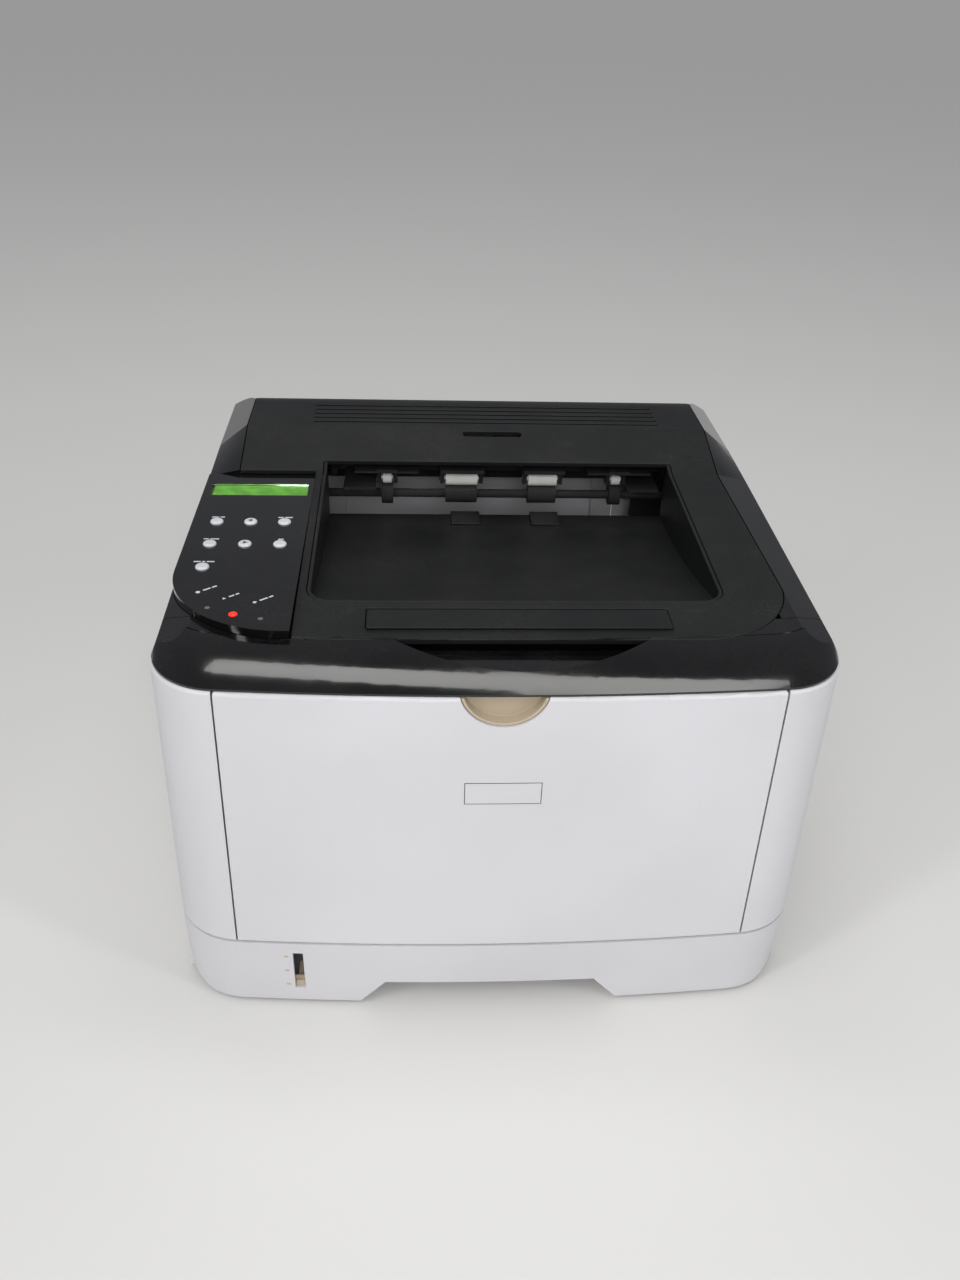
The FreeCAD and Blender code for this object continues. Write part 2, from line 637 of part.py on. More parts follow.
# ---------------------------------------------------------------- front cover and bypass door
def make_front_cover():
    posts = ring(cassette_top_z + seam, rim_z, 0, wall).fuse(ring(rim_z - 2.5, rim_z, 0,
                                                                  9)).removeSplitter()
    posts = posts.common(box(-FAR, FAR, front_y - 5, post_seam_y - seam, LOW, FAR))
    posts = posts.makeFillet(seam_rounding, outer_end_edges(posts))
    posts = posts.makeFillet(rim_rounding, outer_top_edges(posts, rim_z))
    posts = posts.cut(box(-door_half_width - seam, door_half_width + seam, front_y - 5,
                          cover_panel_y - 0.5, LOW, FAR))
    swing = rod_x(-half_width - 1, half_width + 1, hinge_y, hinge_z, post_seam_y - seam - hinge_y - 0.1)
    low_zone = box(-FAR, FAR, hinge_y, post_seam_y, LOW, hinge_z)
    posts = posts.cut(low_zone.cut(swing))
    panel = box(-166, 166, cover_panel_y, cover_panel_y + 2.5, 77, rim_z - 5)
    panel = panel.common(housing(wall, 0, rim_z))
    panel = panel.cut(box(-112, 112, cover_panel_y - 1, cover_panel_y + 4, 84, 96))
    links = []
    for s in (-1, 1):
        x0, x1 = sorted((s * 150.5, s * 153))
        links.append(box(x0, x1, -189, cover_panel_y + 2.5, 77,
                         rim_z - 3).common(housing(wall - 1, 0, rim_z)))
        x0, x1 = sorted((s * 84, s * 90))
        arm = box(x0, x1, hinge_y - 1, cover_panel_y + 2.5, hinge_z, 84)
        arm = arm.fuse(rod_x(x0, x1, hinge_y, hinge_z, hinge_eye_radius))
        links.append(arm.cut(rod_x(x0 - 1, x1 + 1, hinge_y, hinge_z, hinge_rod_radius + running_gap)))
        x0, x1 = sorted((s * 120, s * 128))
        links.append(box(x0, x1, cover_panel_y + 2, cover_panel_y + 12, 205, 209))
    export(fuse([posts, panel] + links), "front_cover")
    export(rod_x(-hinge_rod_half_length, hinge_rod_half_length, hinge_y, hinge_z, hinge_rod_radius),
           "hinge_rod")


def pull_circle():
    radius = (pull_half_width**2 + pull_depth_z**2) / (2 * pull_depth_z)
    return radius, rim_z - pull_depth_z + radius


def make_bypass_door():
    radius, centre_z = pull_circle()
    door = ring(cassette_top_z + seam, rim_z, 0, wall)
    door = door.common(box(-door_half_width + seam, door_half_width - seam, front_y - 5, -180, LOW,
                           FAR))
    door = door.makeFillet(seam_rounding, outer_end_edges(door))
    door = door.makeFillet(rim_rounding, outer_top_edges(door, rim_z))
    raised = rod((0, 1, 0), (0, front_y - 0.7, centre_z), 3, radius + 4).cut(housing(0.2, 0, FAR))
    raised = raised.common(box(-40, 40, front_y - 5, 0, LOW, rim_z - 2.4))
    door = door.cut(rod((0, 1, 0), (0, front_y - 5, centre_z), 30, radius))
    reach = hinge_rod_half_length + 1
    door = door.cut(rod_x(-reach, reach, hinge_y, hinge_z, hinge_rod_radius + hinge_groove))
    for s in (-1, 1):
        for near, far in ((55, 63), (83, 91)):
            x0, x1 = sorted((s * near, s * far))
            door = door.cut(rod_x(x0, x1, hinge_y, hinge_z, hinge_eye_radius + hinge_groove))
    tray = box(-128, 128, -189, -186.5, 84, 205).common(housing(wall, 0, rim_z))
    ribs = [tray]
    for x in (-120, -60, 0, 57.5, 117.5):
        ribs.append(box(x, x + 2.5, front_y, -187, 90, 200).common(housing(wall - 0.5, 0, rim_z)))
    for s in (-1, 1):
        x0, x1 = sorted((s * 70, s * 76))
        arm = box(x0, x1, hinge_y - 2, -182, hinge_z, 88).fuse(rod_x(x0, x1, hinge_y, hinge_z,
                                                                     hinge_eye_radius))
        web = box(x0, x1, front_y, hinge_y, hinge_z + 4, 88).common(housing(wall - 0.5, 0, rim_z))
        arm = arm.fuse(web)
        ribs.append(arm.cut(rod_x(x0 - 1, x1 + 1, hinge_y, hinge_z, hinge_rod_radius + running_gap)))
    door = fuse([door] + ribs)
    export(door, "bypass_door")
    back = front_y + wall + pull_depth_y - 6
    shell = rod((0, 1, 0), (0, front_y + 1, centre_z), back - front_y - 1, radius - seat_gap)
    hollow = rod((0, 1, 0), (0, front_y, centre_z), back - front_y - 2.0, radius - seat_gap - 1.6)
    cup = shell.cut(hollow).common(box(-30, 30, front_y, -150, 150, rim_z - 0.6))
    export(cup, "handle_cup")
    for s, name in ((-1, "bypass_guide_left"), (1, "bypass_guide_right")):
        x0, x1 = sorted((s * 106, s * 108.5))
        fence_piece = box(x0, x1, -186.2, -178.5, 100, 190)
        x0, x1 = sorted((s * 108.5, s * 124))
        foot = box(x0, x1, -186.2, -184.4, 120, 170)
        export(fence_piece.fuse(foot).removeSplitter(), name)


# ---------------------------------------------------------------- cassette
def make_cassette_front():
    low = foot_height
    top = cassette_top_z + seam - door_swing_gap

    def block(inset):
        wires = [outline(inset, low, cassette_lean).OuterWire, outline(inset, top, 0).OuterWire]
        return Part.makeLoft(wires, True, True)

    fascia = block(0).cut(block(wall)).common(box(-FAR, FAR, -FAR, post_seam_y - seam, LOW, FAR))
    r = fascia_corner_radius
    trimmed = box(-half_width, half_width, -FAR, FAR, low, 120)
    lower = [e for e in trimmed.Edges if e.BoundBox.YLength > 100 and e.BoundBox.ZMax < low + 1]
    trimmed = trimmed.makeFillet(r, lower)
    lid_profile = [(front_y + 0.2, top), (-193, top - 2.2), (-189, top - 4.4), (-176, top - 4.4),
                   (-176, top - 6.9),
                   (-190, top - 6.9), (front_y, top - 6)]
    lid = prism_yz(lid_profile, -half_width, half_width).common(block(0.4))
    notch = prism_xz([(-notch_half_width_low, low - 1), (notch_half_width_low, low - 1),
                      (notch_half_width_top, notch_top_z), (-notch_half_width_top,
                                                            notch_top_z)], -FAR, FAR)
    hood = prism_xz([(-notch_half_width_low - 3, low), (-notch_half_width_top - 2.5, notch_top_z + 2.5),
                     (notch_half_width_top + 2.5, notch_top_z + 2.5), (notch_half_width_low + 3,
                                                                       low)], -194, box_front_y - seat_gap)
    hood = hood.cut(notch).common(block(0.5))
    link_left = [box(x, x + 2.5, -193, box_front_y - seat_gap, 14,
                     top - 5).common(block(wall - 0.5)) for x in (-135, -100, 97.5, 132.5)]
    front = fuse([fascia, lid, hood] + link_left)
    front = front.common(trimmed).cut(notch.common(box(-FAR, FAR, -FAR, box_front_y - 1, LOW, FAR)))
    front = front.cut(box(gauge_left_x, gauge_right_x, -FAR, -180, gauge_low_z, gauge_high_z))
    export(front.removeSplitter(), "cassette_front")


def make_cassette_box():
    outer = box(-box_half_width, box_half_width, box_front_y, box_rear_y, box_low_z, box_high_z)
    inner = box(-box_half_width + box_wall, box_half_width - box_wall, box_front_y + box_wall,
                box_rear_y - box_wall,
                box_low_z + 2, box_high_z + 1)
    tray = outer.cut(inner)
    pad = prism_yz([(box_front_y + box_wall, 36), (box_front_y + box_wall, box_high_z),
                    (box_front_y + 8, box_high_z),
                    (box_front_y + box_wall + 1, 36)], -30, 30)
    posts = []
    for s in (-1, 1):
        x0, x1 = sorted((s * (lift_half_width + 0.3), s * (lift_half_width + 4)))
        ear = box(x0, x1, lift_hinge_y - 4, lift_hinge_y + 4, box_low_z + 2, lift_hinge_z + 4)
        posts.append(ear)
        x0, x1 = sorted((s * (lift_half_width - 5), s * (lift_half_width + 2)))
        posts.append(rod_x(x0, x1, lift_hinge_y, lift_hinge_z, 1.5))
    rails = [box(x, x + 2, 45, 148, box_low_z + 2, box_low_z + 4) for x in (-17.5, 15.5)]
    export(fuse([tray, pad] + posts + rails), "cassette_box")


def make_cassette_inside():
    plate = box(-lift_half_width, lift_half_width, lift_hinge_y - lift_length, lift_hinge_y - 3,
                lift_hinge_z - 0.8,
                lift_hinge_z + 0.8)
    eyes = []
    for s in (-1, 1):
        x0, x1 = sorted((s * (lift_half_width - 6), s * lift_half_width))
        eyes.append(rod_x(x0, x1, lift_hinge_y, lift_hinge_z, 3.2).fuse(
            box(x0, x1, lift_hinge_y - 6, lift_hinge_y, lift_hinge_z - 0.8, lift_hinge_z + 0.8)))
    plate = fuse([plate] + eyes)
    for s in (-1, 1):
        x0, x1 = sorted((s * (lift_half_width - 7), s * (lift_half_width + 1)))
        plate = plate.cut(rod_x(x0, x1, lift_hinge_y, lift_hinge_z, 1.5 + running_gap))
    plate.rotate(V(0, lift_hinge_y, lift_hinge_z), V(1, 0, 0), -lift_angle)
    export(plate, "lift_plate")
    spring_y = -130.0
    low, coil_wire, coil_radius, turns = box_low_z + 2.3, 1.2, 8.0, 5
    high = lift_hinge_z + (lift_hinge_y - spring_y) * math.tan(math.radians(lift_angle)) - 4.4
    helix = Part.makeHelix((high - low - 2 * coil_wire) / turns, high - low - 2 * coil_wire,
                           coil_radius)
    helix.translate(V(0, spring_y, low + coil_wire))
    start = helix.Edges[0]
    section = Part.Wire(Part.makeCircle(coil_wire, start.valueAt(start.FirstParameter),
                                        start.tangentAt(start.FirstParameter)))
    coil = Part.Wire(helix.Edges).makePipeShell([section], True, True)
    export(coil, "lift_spring")
    for s, name in ((-1, "side_guide_left"), (1, "side_guide_right")):
        x0, x1 = sorted((s * paper_half_width, s * (paper_half_width + 2.5)))
        fence_piece = box(x0, x1, -120, -20, box_low_z + 2 + seat_gap, 50)
        x0, x1 = sorted((s * (paper_half_width + 2.5), s * (paper_half_width + 18)))
        foot = box(x0, x1, -110, -30, box_low_z + 2 + seat_gap, box_low_z + 4)
        rack_y = -76.0 if s < 0 else -66.0
        x0, x1 = sorted((s * paper_half_width, -s * 14))
        rack = box(x0, x1, rack_y - 3, rack_y + 3, box_low_z + 2 + seat_gap, box_low_z + 4)
        export(fuse([fence_piece, foot, rack]), name)
    end = box(-15, 15, paper_rear_y, paper_rear_y + 2.5, box_low_z + 2 + seat_gap, 48)
    shoe = box(-15.2, 15.2, paper_rear_y - 14, paper_rear_y + 2.5, box_low_z + 2 + seat_gap,
               box_low_z + 4)
    export(end.fuse(shoe).removeSplitter(), "end_guide")
    middle = (gauge_left_x + gauge_right_x) / 2
    pointer = box(middle - 2.4, middle + 2.4, -186.6, -184.6, gauge_low_z + 1, gauge_low_z + 5)
    pointer = pointer.fuse(box(middle - 3.6, middle + 3.6, -184.6, -183.6, gauge_low_z - 1,
                               gauge_low_z + 7))
    pointer = pointer.fuse(box(middle - 1.5, middle + 1.5, -183.6, box_front_y - seat_gap,
                               gauge_low_z + 1, gauge_low_z + 4))
    export(pointer.removeSplitter(), "paper_level_indicator")


# ---------------------------------------------------------------- paper path
def roller(x0, x1, y, z, radius, shaft, reach0, reach1):
    return fuse([rod_x(x0, x1, y, z, radius), rod_x(reach0, reach1, y, z, shaft)])


def make_rollers():
    plate_out = side_plate_x + side_plate_thickness + 1
    export(roller(-112, 112, drum_y, drum_z, drum_radius, 4.0, -plate_out, gear_x + gear_width).fuse(
        gear(drum_teeth, drum_y, drum_z, gear_x, gear_width, 3.9,
             drum_gear_turn())).removeSplitter(), "opc_drum")
    transfer_z = drum_z - drum_radius - seat_gap - transfer_radius
    export(roller(-110, 110, drum_y, transfer_z, transfer_radius, 3.0, -plate_out, plate_out),
           "transfer_roller")
    hot_z = nip_z + fuser_radius + seat_gap / 2
    cold_z = nip_z - fuser_radius - seat_gap / 2
    export(roller(-110, 110, fuser_y, hot_z, fuser_radius, 5.0, -plate_out, plate_out), "heat_roller")
    export(roller(-110, 110, fuser_y, cold_z, fuser_radius, 5.0, -plate_out, plate_out),
           "pressure_roller")
    export(roller(-22, 22, feed_y, feed_z, feed_radius, 4.0, -plate_out, plate_out), "feed_roller")
    shaft = [rod_x(-plate_out, plate_out, exit_y, exit_z, exit_shaft_radius)]
    for x0, x1 in ((-23, -1), (35, 55)):
        shaft.append(rod_x(x0, x1, exit_y, exit_z, exit_roller_radius))
    for x in (-64, 97):
        shaft.append(rod_x(x - 4, x + 4, exit_y, exit_z, exit_roller_radius + 1))
    export(fuse(shaft), "exit_drive_shaft")
    idler_z = exit_z + exit_roller_radius + idler_radius + seat_gap
    idlers = []
    for x0, x1 in ((-23, -1), (35, 55)):
        idlers.append(roller(x0, x1, exit_y, idler_z, idler_radius, 1.5, x0 - 4, x1 + 4))
    for x in (-64, 97):
        idlers.append(roller(x - 3, x + 3, exit_y, idler_z, outer_idler_radius - 0.1, 1.5, x - 6,
                             x + 6))
    export(Part.makeCompound(idlers), "exit_idlers")
    holders = []
    bar = box(-130, 146, 92, 96, 233, 252).common(crown(skin + seat_gap))
    holders.append(bar)
    for x0, x1, wing in ((-23, -1, 0), (35, 55, 0), (-67, -61, 19), (94, 100, 19)):
        roof = box(x0 - 4, x1 + 4, 62, 94, 240.5, 243)
        if wing:
            roof = roof.fuse(box(x0 - wing, x1 + wing, 62, 94, 240.5, 241.8))
        holders.append(roof)
        for a, b in ((x0 - 4, x0 - 1.2), (x1 + 1.2, x1 + 4)):
            cheek = box(a, b, exit_y - 4, exit_y + 4, idler_z - 3, 241)
            holders.append(cheek.cut(rod_x(a - 1, b + 1, exit_y, idler_z, 1.5 + running_gap)))
    for s in (-1, 1):
        x = -130 if s < 0 else 142
        holders.append(box(x, x + 4, 92, 96, 214, 236))
    rail = fuse(holders)
    flag_rod_y, flag_rod_z = 101.0, 228.0
    hangers = []
    for x in (-104, 134):
        hanger = box(x, x + 4, 94, 106, flag_rod_z - 3, 237)
        hangers.append(hanger.cut(rod_x(x - 1, x + 5, flag_rod_y, flag_rod_z, 1.5 + running_gap)))
    export(fuse([rail] + hangers), "roller_holders")
    flags = [rod_x(-106, 140, flag_rod_y, flag_rod_z, 1.5)]
    for x0, x1 in ((-94, -72), (105, 126)):
        flags.append(box(x0, x1, 64, flag_rod_y, flag_rod_z - 1.2, flag_rod_z + 1.2))
    export(fuse(flags), "stack_flags")


def make_fuser_frame():
    cheeks = []
    for s in (-1, 1):
        x0, x1 = sorted((s * 118, s * 122))
        cheek = box(x0, x1, fuser_y - 24, fuser_y + 24, 64 + seat_gap, 146)
        for z in (nip_z + fuser_radius + seat_gap / 2, nip_z - fuser_radius - seat_gap / 2):
            cheek = cheek.cut(rod_x(x0 - 1, x1 + 1, fuser_y, z, 5.0 + running_gap))
        cheeks.append(cheek)
    top = box(-122, 122, fuser_y - 24, fuser_y + 24, 140, 146)
    front_guard = box(-122, 122, fuser_y - 24, fuser_y - 21, 112, 146)
    export(fuse(cheeks + [top, front_guard]), "fuser_frame")


def make_optics_and_cartridge():
    unit = box(-115, 115, -110, 45, 174, 200).cut(box(-111, 111, -106, 41, 177, 197))
    unit = unit.cut(box(-105, 105, -70, -62, 170, 180))
    unit = unit.fuse(rod((0, 0, 1), (20, 5, 176), 8, 4)).cut(rod((0, 0, 1), (20, 5, 180), 30,
                                                                 1.5 + running_gap))
    ears = []
    for s in (-1, 1):
        x0, x1 = sorted((s * 114, s * side_plate_x))
        for y in (-100, 20):
            ears.append(box(x0, x1, y, y + 14, 174, 177))
    export(fuse([unit] + ears), "laser_unit")
    turns = [math.pi / 3 * n for n in range(6)]
    corners = [(20 + 16 * math.cos(turn), 5 + 16 * math.sin(turn), 184.3) for turn in turns]
    mirror = prism(corners, (0, 0, 4))
    mirror = mirror.fuse(rod((0, 0, 1), (20, 5, 180.5), 8, 1.5))
    export(mirror.removeSplitter(), "polygon_mirror")
    hopper = prism_yz([(-140, 122), (-60, 114), (-50, 134.5), (-12, 134.5), (-12, 150), (-70, 166),
                       (-140, 166)], -118, 118)
    hollow = prism_yz([(-137, 125), (-64, 118), (-56, 137.5), (-15, 137.5), (-15, 148), (-70, 163),
                       (-137, 163)], -115, 115)
    hopper = hopper.cut(hollow)
    cheeks = []
    for s in (-1, 1):
        x0, x1 = sorted((s * 113, s * 118))
        cheek = prism_yz([(-140, 122), (-60, 108), (-12, 108), (-12, 150), (-70, 166), (-140, 166)],
                         x0, x1)
        cheeks.append(cheek.cut(rod_x(x0 - 1, x1 + 1, drum_y, drum_z, 4.0 + running_gap)))
        x0, x1 = sorted((s * 117, s * (side_plate_x - 0.3)))
        cheeks.append(box(x0, x1, -100, -92, 126, 134))
    handle = box(-40, 40, -152, -139, 150, 154)
    export(fuse([hopper, handle] + cheeks), "cartridge_body")


# ---------------------------------------------------------------- drive
def middle_gear_place():
    """Centre of the middle gear: in mesh with the motor pinion and the drum gear."""
    a = gear_module * (pinion_teeth + middle_teeth) / 2
    b = gear_module * (middle_teeth + drum_teeth) / 2
    span = math.hypot(drum_y - motor_y, drum_z - motor_z)
    along = (a * a - b * b + span * span) / (2 * span)
    off = math.sqrt(a * a - along * along)
    uy, uz = (drum_y - motor_y) / span, (drum_z - motor_z) / span
    return motor_y + along * uy + off * uz, motor_z + along * uz - off * uy


def meshed_turn(place, turned, teeth, other, other_teeth):
    """Turn of the gear at other that meshes with a gear of a known turn at place."""
    toward = math.atan2(other[1] - place[1], other[0] - place[0])
    phase = (toward - turned) * teeth / (2 * math.pi)
    back = toward + math.pi
    return back + (phase + 0.5) * 2 * math.pi / other_teeth


def middle_gear_turn():
    return meshed_turn((motor_y, motor_z), 0.0, pinion_teeth, middle_gear_place(), middle_teeth)


def drum_gear_turn():
    return meshed_turn(middle_gear_place(), middle_gear_turn(), middle_teeth, (drum_y, drum_z),
                       drum_teeth)


def make_drive():
    pinion = gear(pinion_teeth, motor_y, motor_z, gear_x, gear_width, 2.9, 0.0)
    pinion = pinion.fuse(rod_x(side_plate_x - 12, gear_x + gear_width, motor_y, motor_z, 3.0))
    export(pinion.removeSplitter(), "motor_pinion")
    y, z = middle_gear_place()
    export(gear(middle_teeth, y, z, gear_x, gear_width, 3.0 + running_gap, middle_gear_turn()),
           "middle_gear")
    motor = rod_x(side_plate_x - 26, side_plate_x - 0.3, motor_y, motor_z, 20)
    motor = motor.cut(rod_x(side_plate_x - 13, side_plate_x, motor_y, motor_z, 3.0 + running_gap))
    export(motor, "main_motor")


def make_electronics():
    inside = -side_plate_x - side_plate_thickness
    board = box(inside - 8, inside - 6.4, -100, 60, 80, 200)
    for y in (-92, 50):
        for z in (86, 192):
            board = board.fuse(rod_x(inside - 7, inside - seat_gap, y, z, 3))
    chips = ((-70, 150, 26, 26, 3), (-30, 150, 18, 30, 4), (10, 110, 30, 30, 3), (-60, 100, 14, 36, 9))
    for y, z, w, h, t in chips:
        board = board.fuse(box(inside - 8 - t, inside - 7, y, y + w, z, z + h))
    export(board.removeSplitter(), "main_board")
    supply = box(inside - 8, inside - 6.4, 66, 132, 70, 190)
    for y in (72, 126):
        for z in (76, 184):
            supply = supply.fuse(rod_x(inside - 7, inside - seat_gap, y, z, 3))
    supply = supply.fuse(box(inside - 26, inside - 7, 74, 104, 80, 110))
    supply = supply.fuse(box(inside - 22, inside - 7, 76, 84, 120, 178))
    supply = supply.fuse(rod((-1, 0, 0), (inside - 7, 114, 150), 20, 9))
    export(supply.removeSplitter(), "power_supply")
    sockets = box(-157, -137, 166, rear_wall_y - 0.3, 92, 120).cut(box(-155, -139, 170, FAR, 94, 118))
    for z in (101, 111):
        sockets = sockets.fuse(box(-150, -144, 168, 182, z, z + 1.5))
    ports = box(-157, -137, 166, rear_wall_y - 0.3, 136, 184)
    ports = ports.cut(box(-155, -139, 172, FAR, 162, 176)).cut(box(-153, -141, 172, FAR, 142, 153))
    ports = ports.fuse(box(-150, -144, 170, 182, 144, 146))
    plate = box(inside - seat_gap - 1.2, inside - seat_gap, 134, 168, 94, 182)
    export(fuse([sockets, ports, plate.fuse(box(-157, -152, 165, 168, 94, 182))]), "rear_sockets")
    rocker = box(-half_width + 0.6, -half_width + 9, 139, 151, 87, 107)
    rocker = rocker.common(rod((0, 1, 0), (-half_width + 12, 138, 97), 14, 15.5))
    pivot = rod((0, 1, 0), (-half_width + 6, 136, 97), 18, 1.2)
    export(rocker.fuse(pivot).removeSplitter(), "power_rocker")
    fan_y, fan_z = 132.0, 179.0
    frame = box(164, half_width - wall - seat_gap, fan_y - 25, fan_y + 25, fan_z - 25, fan_z + 25)
    frame = frame.cut(rod_x(160, 190, fan_y, fan_z, 23))
    spider = box(164, 166, fan_y - 24, fan_y + 24, fan_z - 1.5, fan_z + 1.5)
    hub = rod_x(164, 166, fan_y, fan_z, 8).fuse(rod_x(165, 172, fan_y, fan_z, 2))
    export(fuse([frame, spider, hub]), "fan_housing")
    blades = [rod_x(166.5, 180, fan_y, fan_z, 8)]
    for n in range(7):
        blade = box(167, 179, fan_y - 0.6, fan_y + 0.6, fan_z + 6, fan_z + 22.3)
        blade.rotate(V(173, fan_y, fan_z + 14), V(0, 0, 1), 35)
        blade.rotate(V(0, fan_y, fan_z), V(1, 0, 0), 360 / 7 * n)
        blades.append(blade)
    export(fuse(blades).cut(rod_x(160, 173, fan_y, fan_z, 2 + running_gap)), "fan_impeller")


make_base_frame()
make_side_plates()
make_side_covers()
make_rear()
make_top()
make_output_tray()
make_panel()
make_front_cover()
make_bypass_door()
make_cassette_front()
make_cassette_box()
make_cassette_inside()
make_rollers()
make_fuser_frame()
make_optics_and_cartridge()
make_drive()
make_electronics()
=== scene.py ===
# %% [markdown]
# # A desktop laser printer
# The frame holds every working part at its real size. This lesson gives those parts their finish:
# a few rounded edges, textured plastics, glossy trims, a lit display and the small printed marks.
# %% Load the frame
import json
import math

import bmesh
import bpy
from mathutils import Matrix, Vector
from mathutils.bvhtree import BVHTree


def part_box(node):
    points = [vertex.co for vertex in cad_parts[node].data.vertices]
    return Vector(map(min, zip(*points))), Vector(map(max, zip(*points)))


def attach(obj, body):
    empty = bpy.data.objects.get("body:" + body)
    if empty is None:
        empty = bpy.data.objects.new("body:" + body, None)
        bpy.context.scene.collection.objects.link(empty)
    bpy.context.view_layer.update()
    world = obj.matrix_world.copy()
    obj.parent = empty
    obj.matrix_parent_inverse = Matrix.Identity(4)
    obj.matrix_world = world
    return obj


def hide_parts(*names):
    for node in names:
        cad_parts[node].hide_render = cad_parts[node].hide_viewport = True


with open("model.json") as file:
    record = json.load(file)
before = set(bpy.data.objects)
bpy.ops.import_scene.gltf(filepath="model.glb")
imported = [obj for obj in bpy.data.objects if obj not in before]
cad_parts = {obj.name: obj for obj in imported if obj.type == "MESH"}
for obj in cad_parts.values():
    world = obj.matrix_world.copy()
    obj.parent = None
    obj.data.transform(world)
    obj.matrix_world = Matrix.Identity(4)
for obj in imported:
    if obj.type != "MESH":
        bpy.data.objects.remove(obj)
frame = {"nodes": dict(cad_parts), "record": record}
nodes = frame["nodes"]
slot_of = {row["node"]: row["material_slot"] for row in frame["record"]["subparts"]}
body_of = {node: body for body, held in frame["record"]["behaviour"]["bodies"].items() for node in held}
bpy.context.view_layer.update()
MM = 0.001  # the frame is in metres, and sizes below are in millimetres

# %% [markdown]
# ## The camera
# A hand-held view from just left of the middle, looking down at the top and the front. Three angles
# describe it the way a photographer would: how far it turns, how far it looks down, and its tilt.
# %% Camera
CAMERA_PLACE = Vector((-0.0485, -0.6759, 0.5594))
CAMERA_TURN = math.radians(4.1)
CAMERA_LOOK_DOWN = math.radians(31.48)
CAMERA_TILT = math.radians(2.18)
CAMERA_LENS = 32.53


def aim(turn, down, tilt):
    """Camera matrix from its turn to the right, its look down and its tilt."""
    ahead = Vector((math.sin(turn) * math.cos(down), math.cos(turn) * math.cos(down),
                    -math.sin(down)))
    level = Vector((math.cos(turn), -math.sin(turn), 0))
    over = level.cross(ahead)
    right = level * math.cos(tilt) + over * math.sin(tilt)
    up = over * math.cos(tilt) - level * math.sin(tilt)
    return Matrix((right, up, -ahead)).transposed().to_4x4()


lens = bpy.data.cameras.new("camera")
lens.lens = CAMERA_LENS
lens.clip_start = 0.01
camera = bpy.data.objects.new("camera", lens)
camera.matrix_world = Matrix.Translation(CAMERA_PLACE) @ aim(CAMERA_TURN, CAMERA_LOOK_DOWN, CAMERA_TILT)
bpy.context.scene.collection.objects.link(camera)
bpy.context.scene.camera = camera
print("camera at", tuple(CAMERA_PLACE))

# %% [markdown]
# ## Effects that several finishes share
# Real moulded plastic is never one flat colour. Four small node groups hold what the finishes have in
# common, and each finish sets their numbers: grain from the mould, dust that settles on what faces
# up, hairline scratches, and the smudges that hands leave on gloss.
# %% Node groups
def new_group(name, inputs, outputs):
    """Empty node group with float inputs {name: value} and the named float outputs."""
    group = bpy.data.node_groups.new(name, "ShaderNodeTree")
    for label, value in inputs.items():
        socket = group.interface.new_socket(label, in_out="INPUT", socket_type="NodeSocketFloat")
        socket.default_value = value
    for label in outputs:
        group.interface.new_socket(label, in_out="OUTPUT", socket_type="NodeSocketFloat")
    return group, group.nodes.new("NodeGroupInput"), group.nodes.new("NodeGroupOutput")


def add(tree, kind, settings=None, links=None):
    """New node of a kind, with socket values or settings, and links {input: output socket}."""
    node = tree.nodes.new("ShaderNode" + kind)
    for key, value in (settings or {}).items():
        if isinstance(key, int) or key in node.inputs:
            node.inputs[key].default_value = value
        else:
            setattr(node, key, value)
    for key, source in (links or {}).items():
        tree.links.new(source, node.inputs[key])
    return node


def maths(tree, operation, first, second, clamp=False):
    """Math node. Each of first and second is an output socket or a number."""
    node = tree.nodes.new("ShaderNodeMath")
    node.operation = operation
    node.use_clamp = clamp
    for index, value in enumerate((first, second)):
        if isinstance(value, (int, float)):
            node.inputs[index].default_value = value
        else:
            tree.links.new(value, node.inputs[index])
    return node.outputs[0]


def ramp(tree, source, low, high, from_value=0.0, to_value=1.0):
    """Smooth step of source from low to high."""
    node = add(tree, "MapRange", {"interpolation_type": "SMOOTHSTEP"}, {"Value": source})
    ends = {"From Min": low, "From Max": high, "To Min": from_value, "To Max": to_value}
    for label, value in ends.items():
        if isinstance(value, (int, float)):
            node.inputs[label].default_value = value
        else:
            tree.links.new(value, node.inputs[label])
    return node.outputs["Result"]


def make_grain():
    """Spark-eroded mould texture: fine pebbles, with a slow change of tone over the part."""
    group, given, result = new_group("mould_grain", {"Scale": 2500.0}, ("Height", "Mottle"))
    place = add(group, "TexCoord").outputs["Object"]
    pebbles = add(group, "TexVoronoi", {"feature": "SMOOTH_F1", "Smoothness": 0.6},
                  {"Vector": place, "Scale": given.outputs["Scale"]})
    coarse = maths(group, "MULTIPLY", given.outputs["Scale"], 0.37)
    ripple = add(group, "TexNoise", {"Detail": 4.0}, {"Vector": place, "Scale": coarse})
    height = maths(group, "MULTIPLY_ADD", pebbles.outputs["Distance"], 0.7)
    group.links.new(ripple.outputs["Fac"], height.node.inputs[2])
    group.links.new(height, result.inputs["Height"])
    slow = add(group, "TexNoise", {"Scale": 9.0, "Detail": 3.0}, {"Vector": place})
    group.links.new(ramp(group, slow.outputs["Fac"], 0.3, 0.7), result.inputs["Mottle"])
    return group


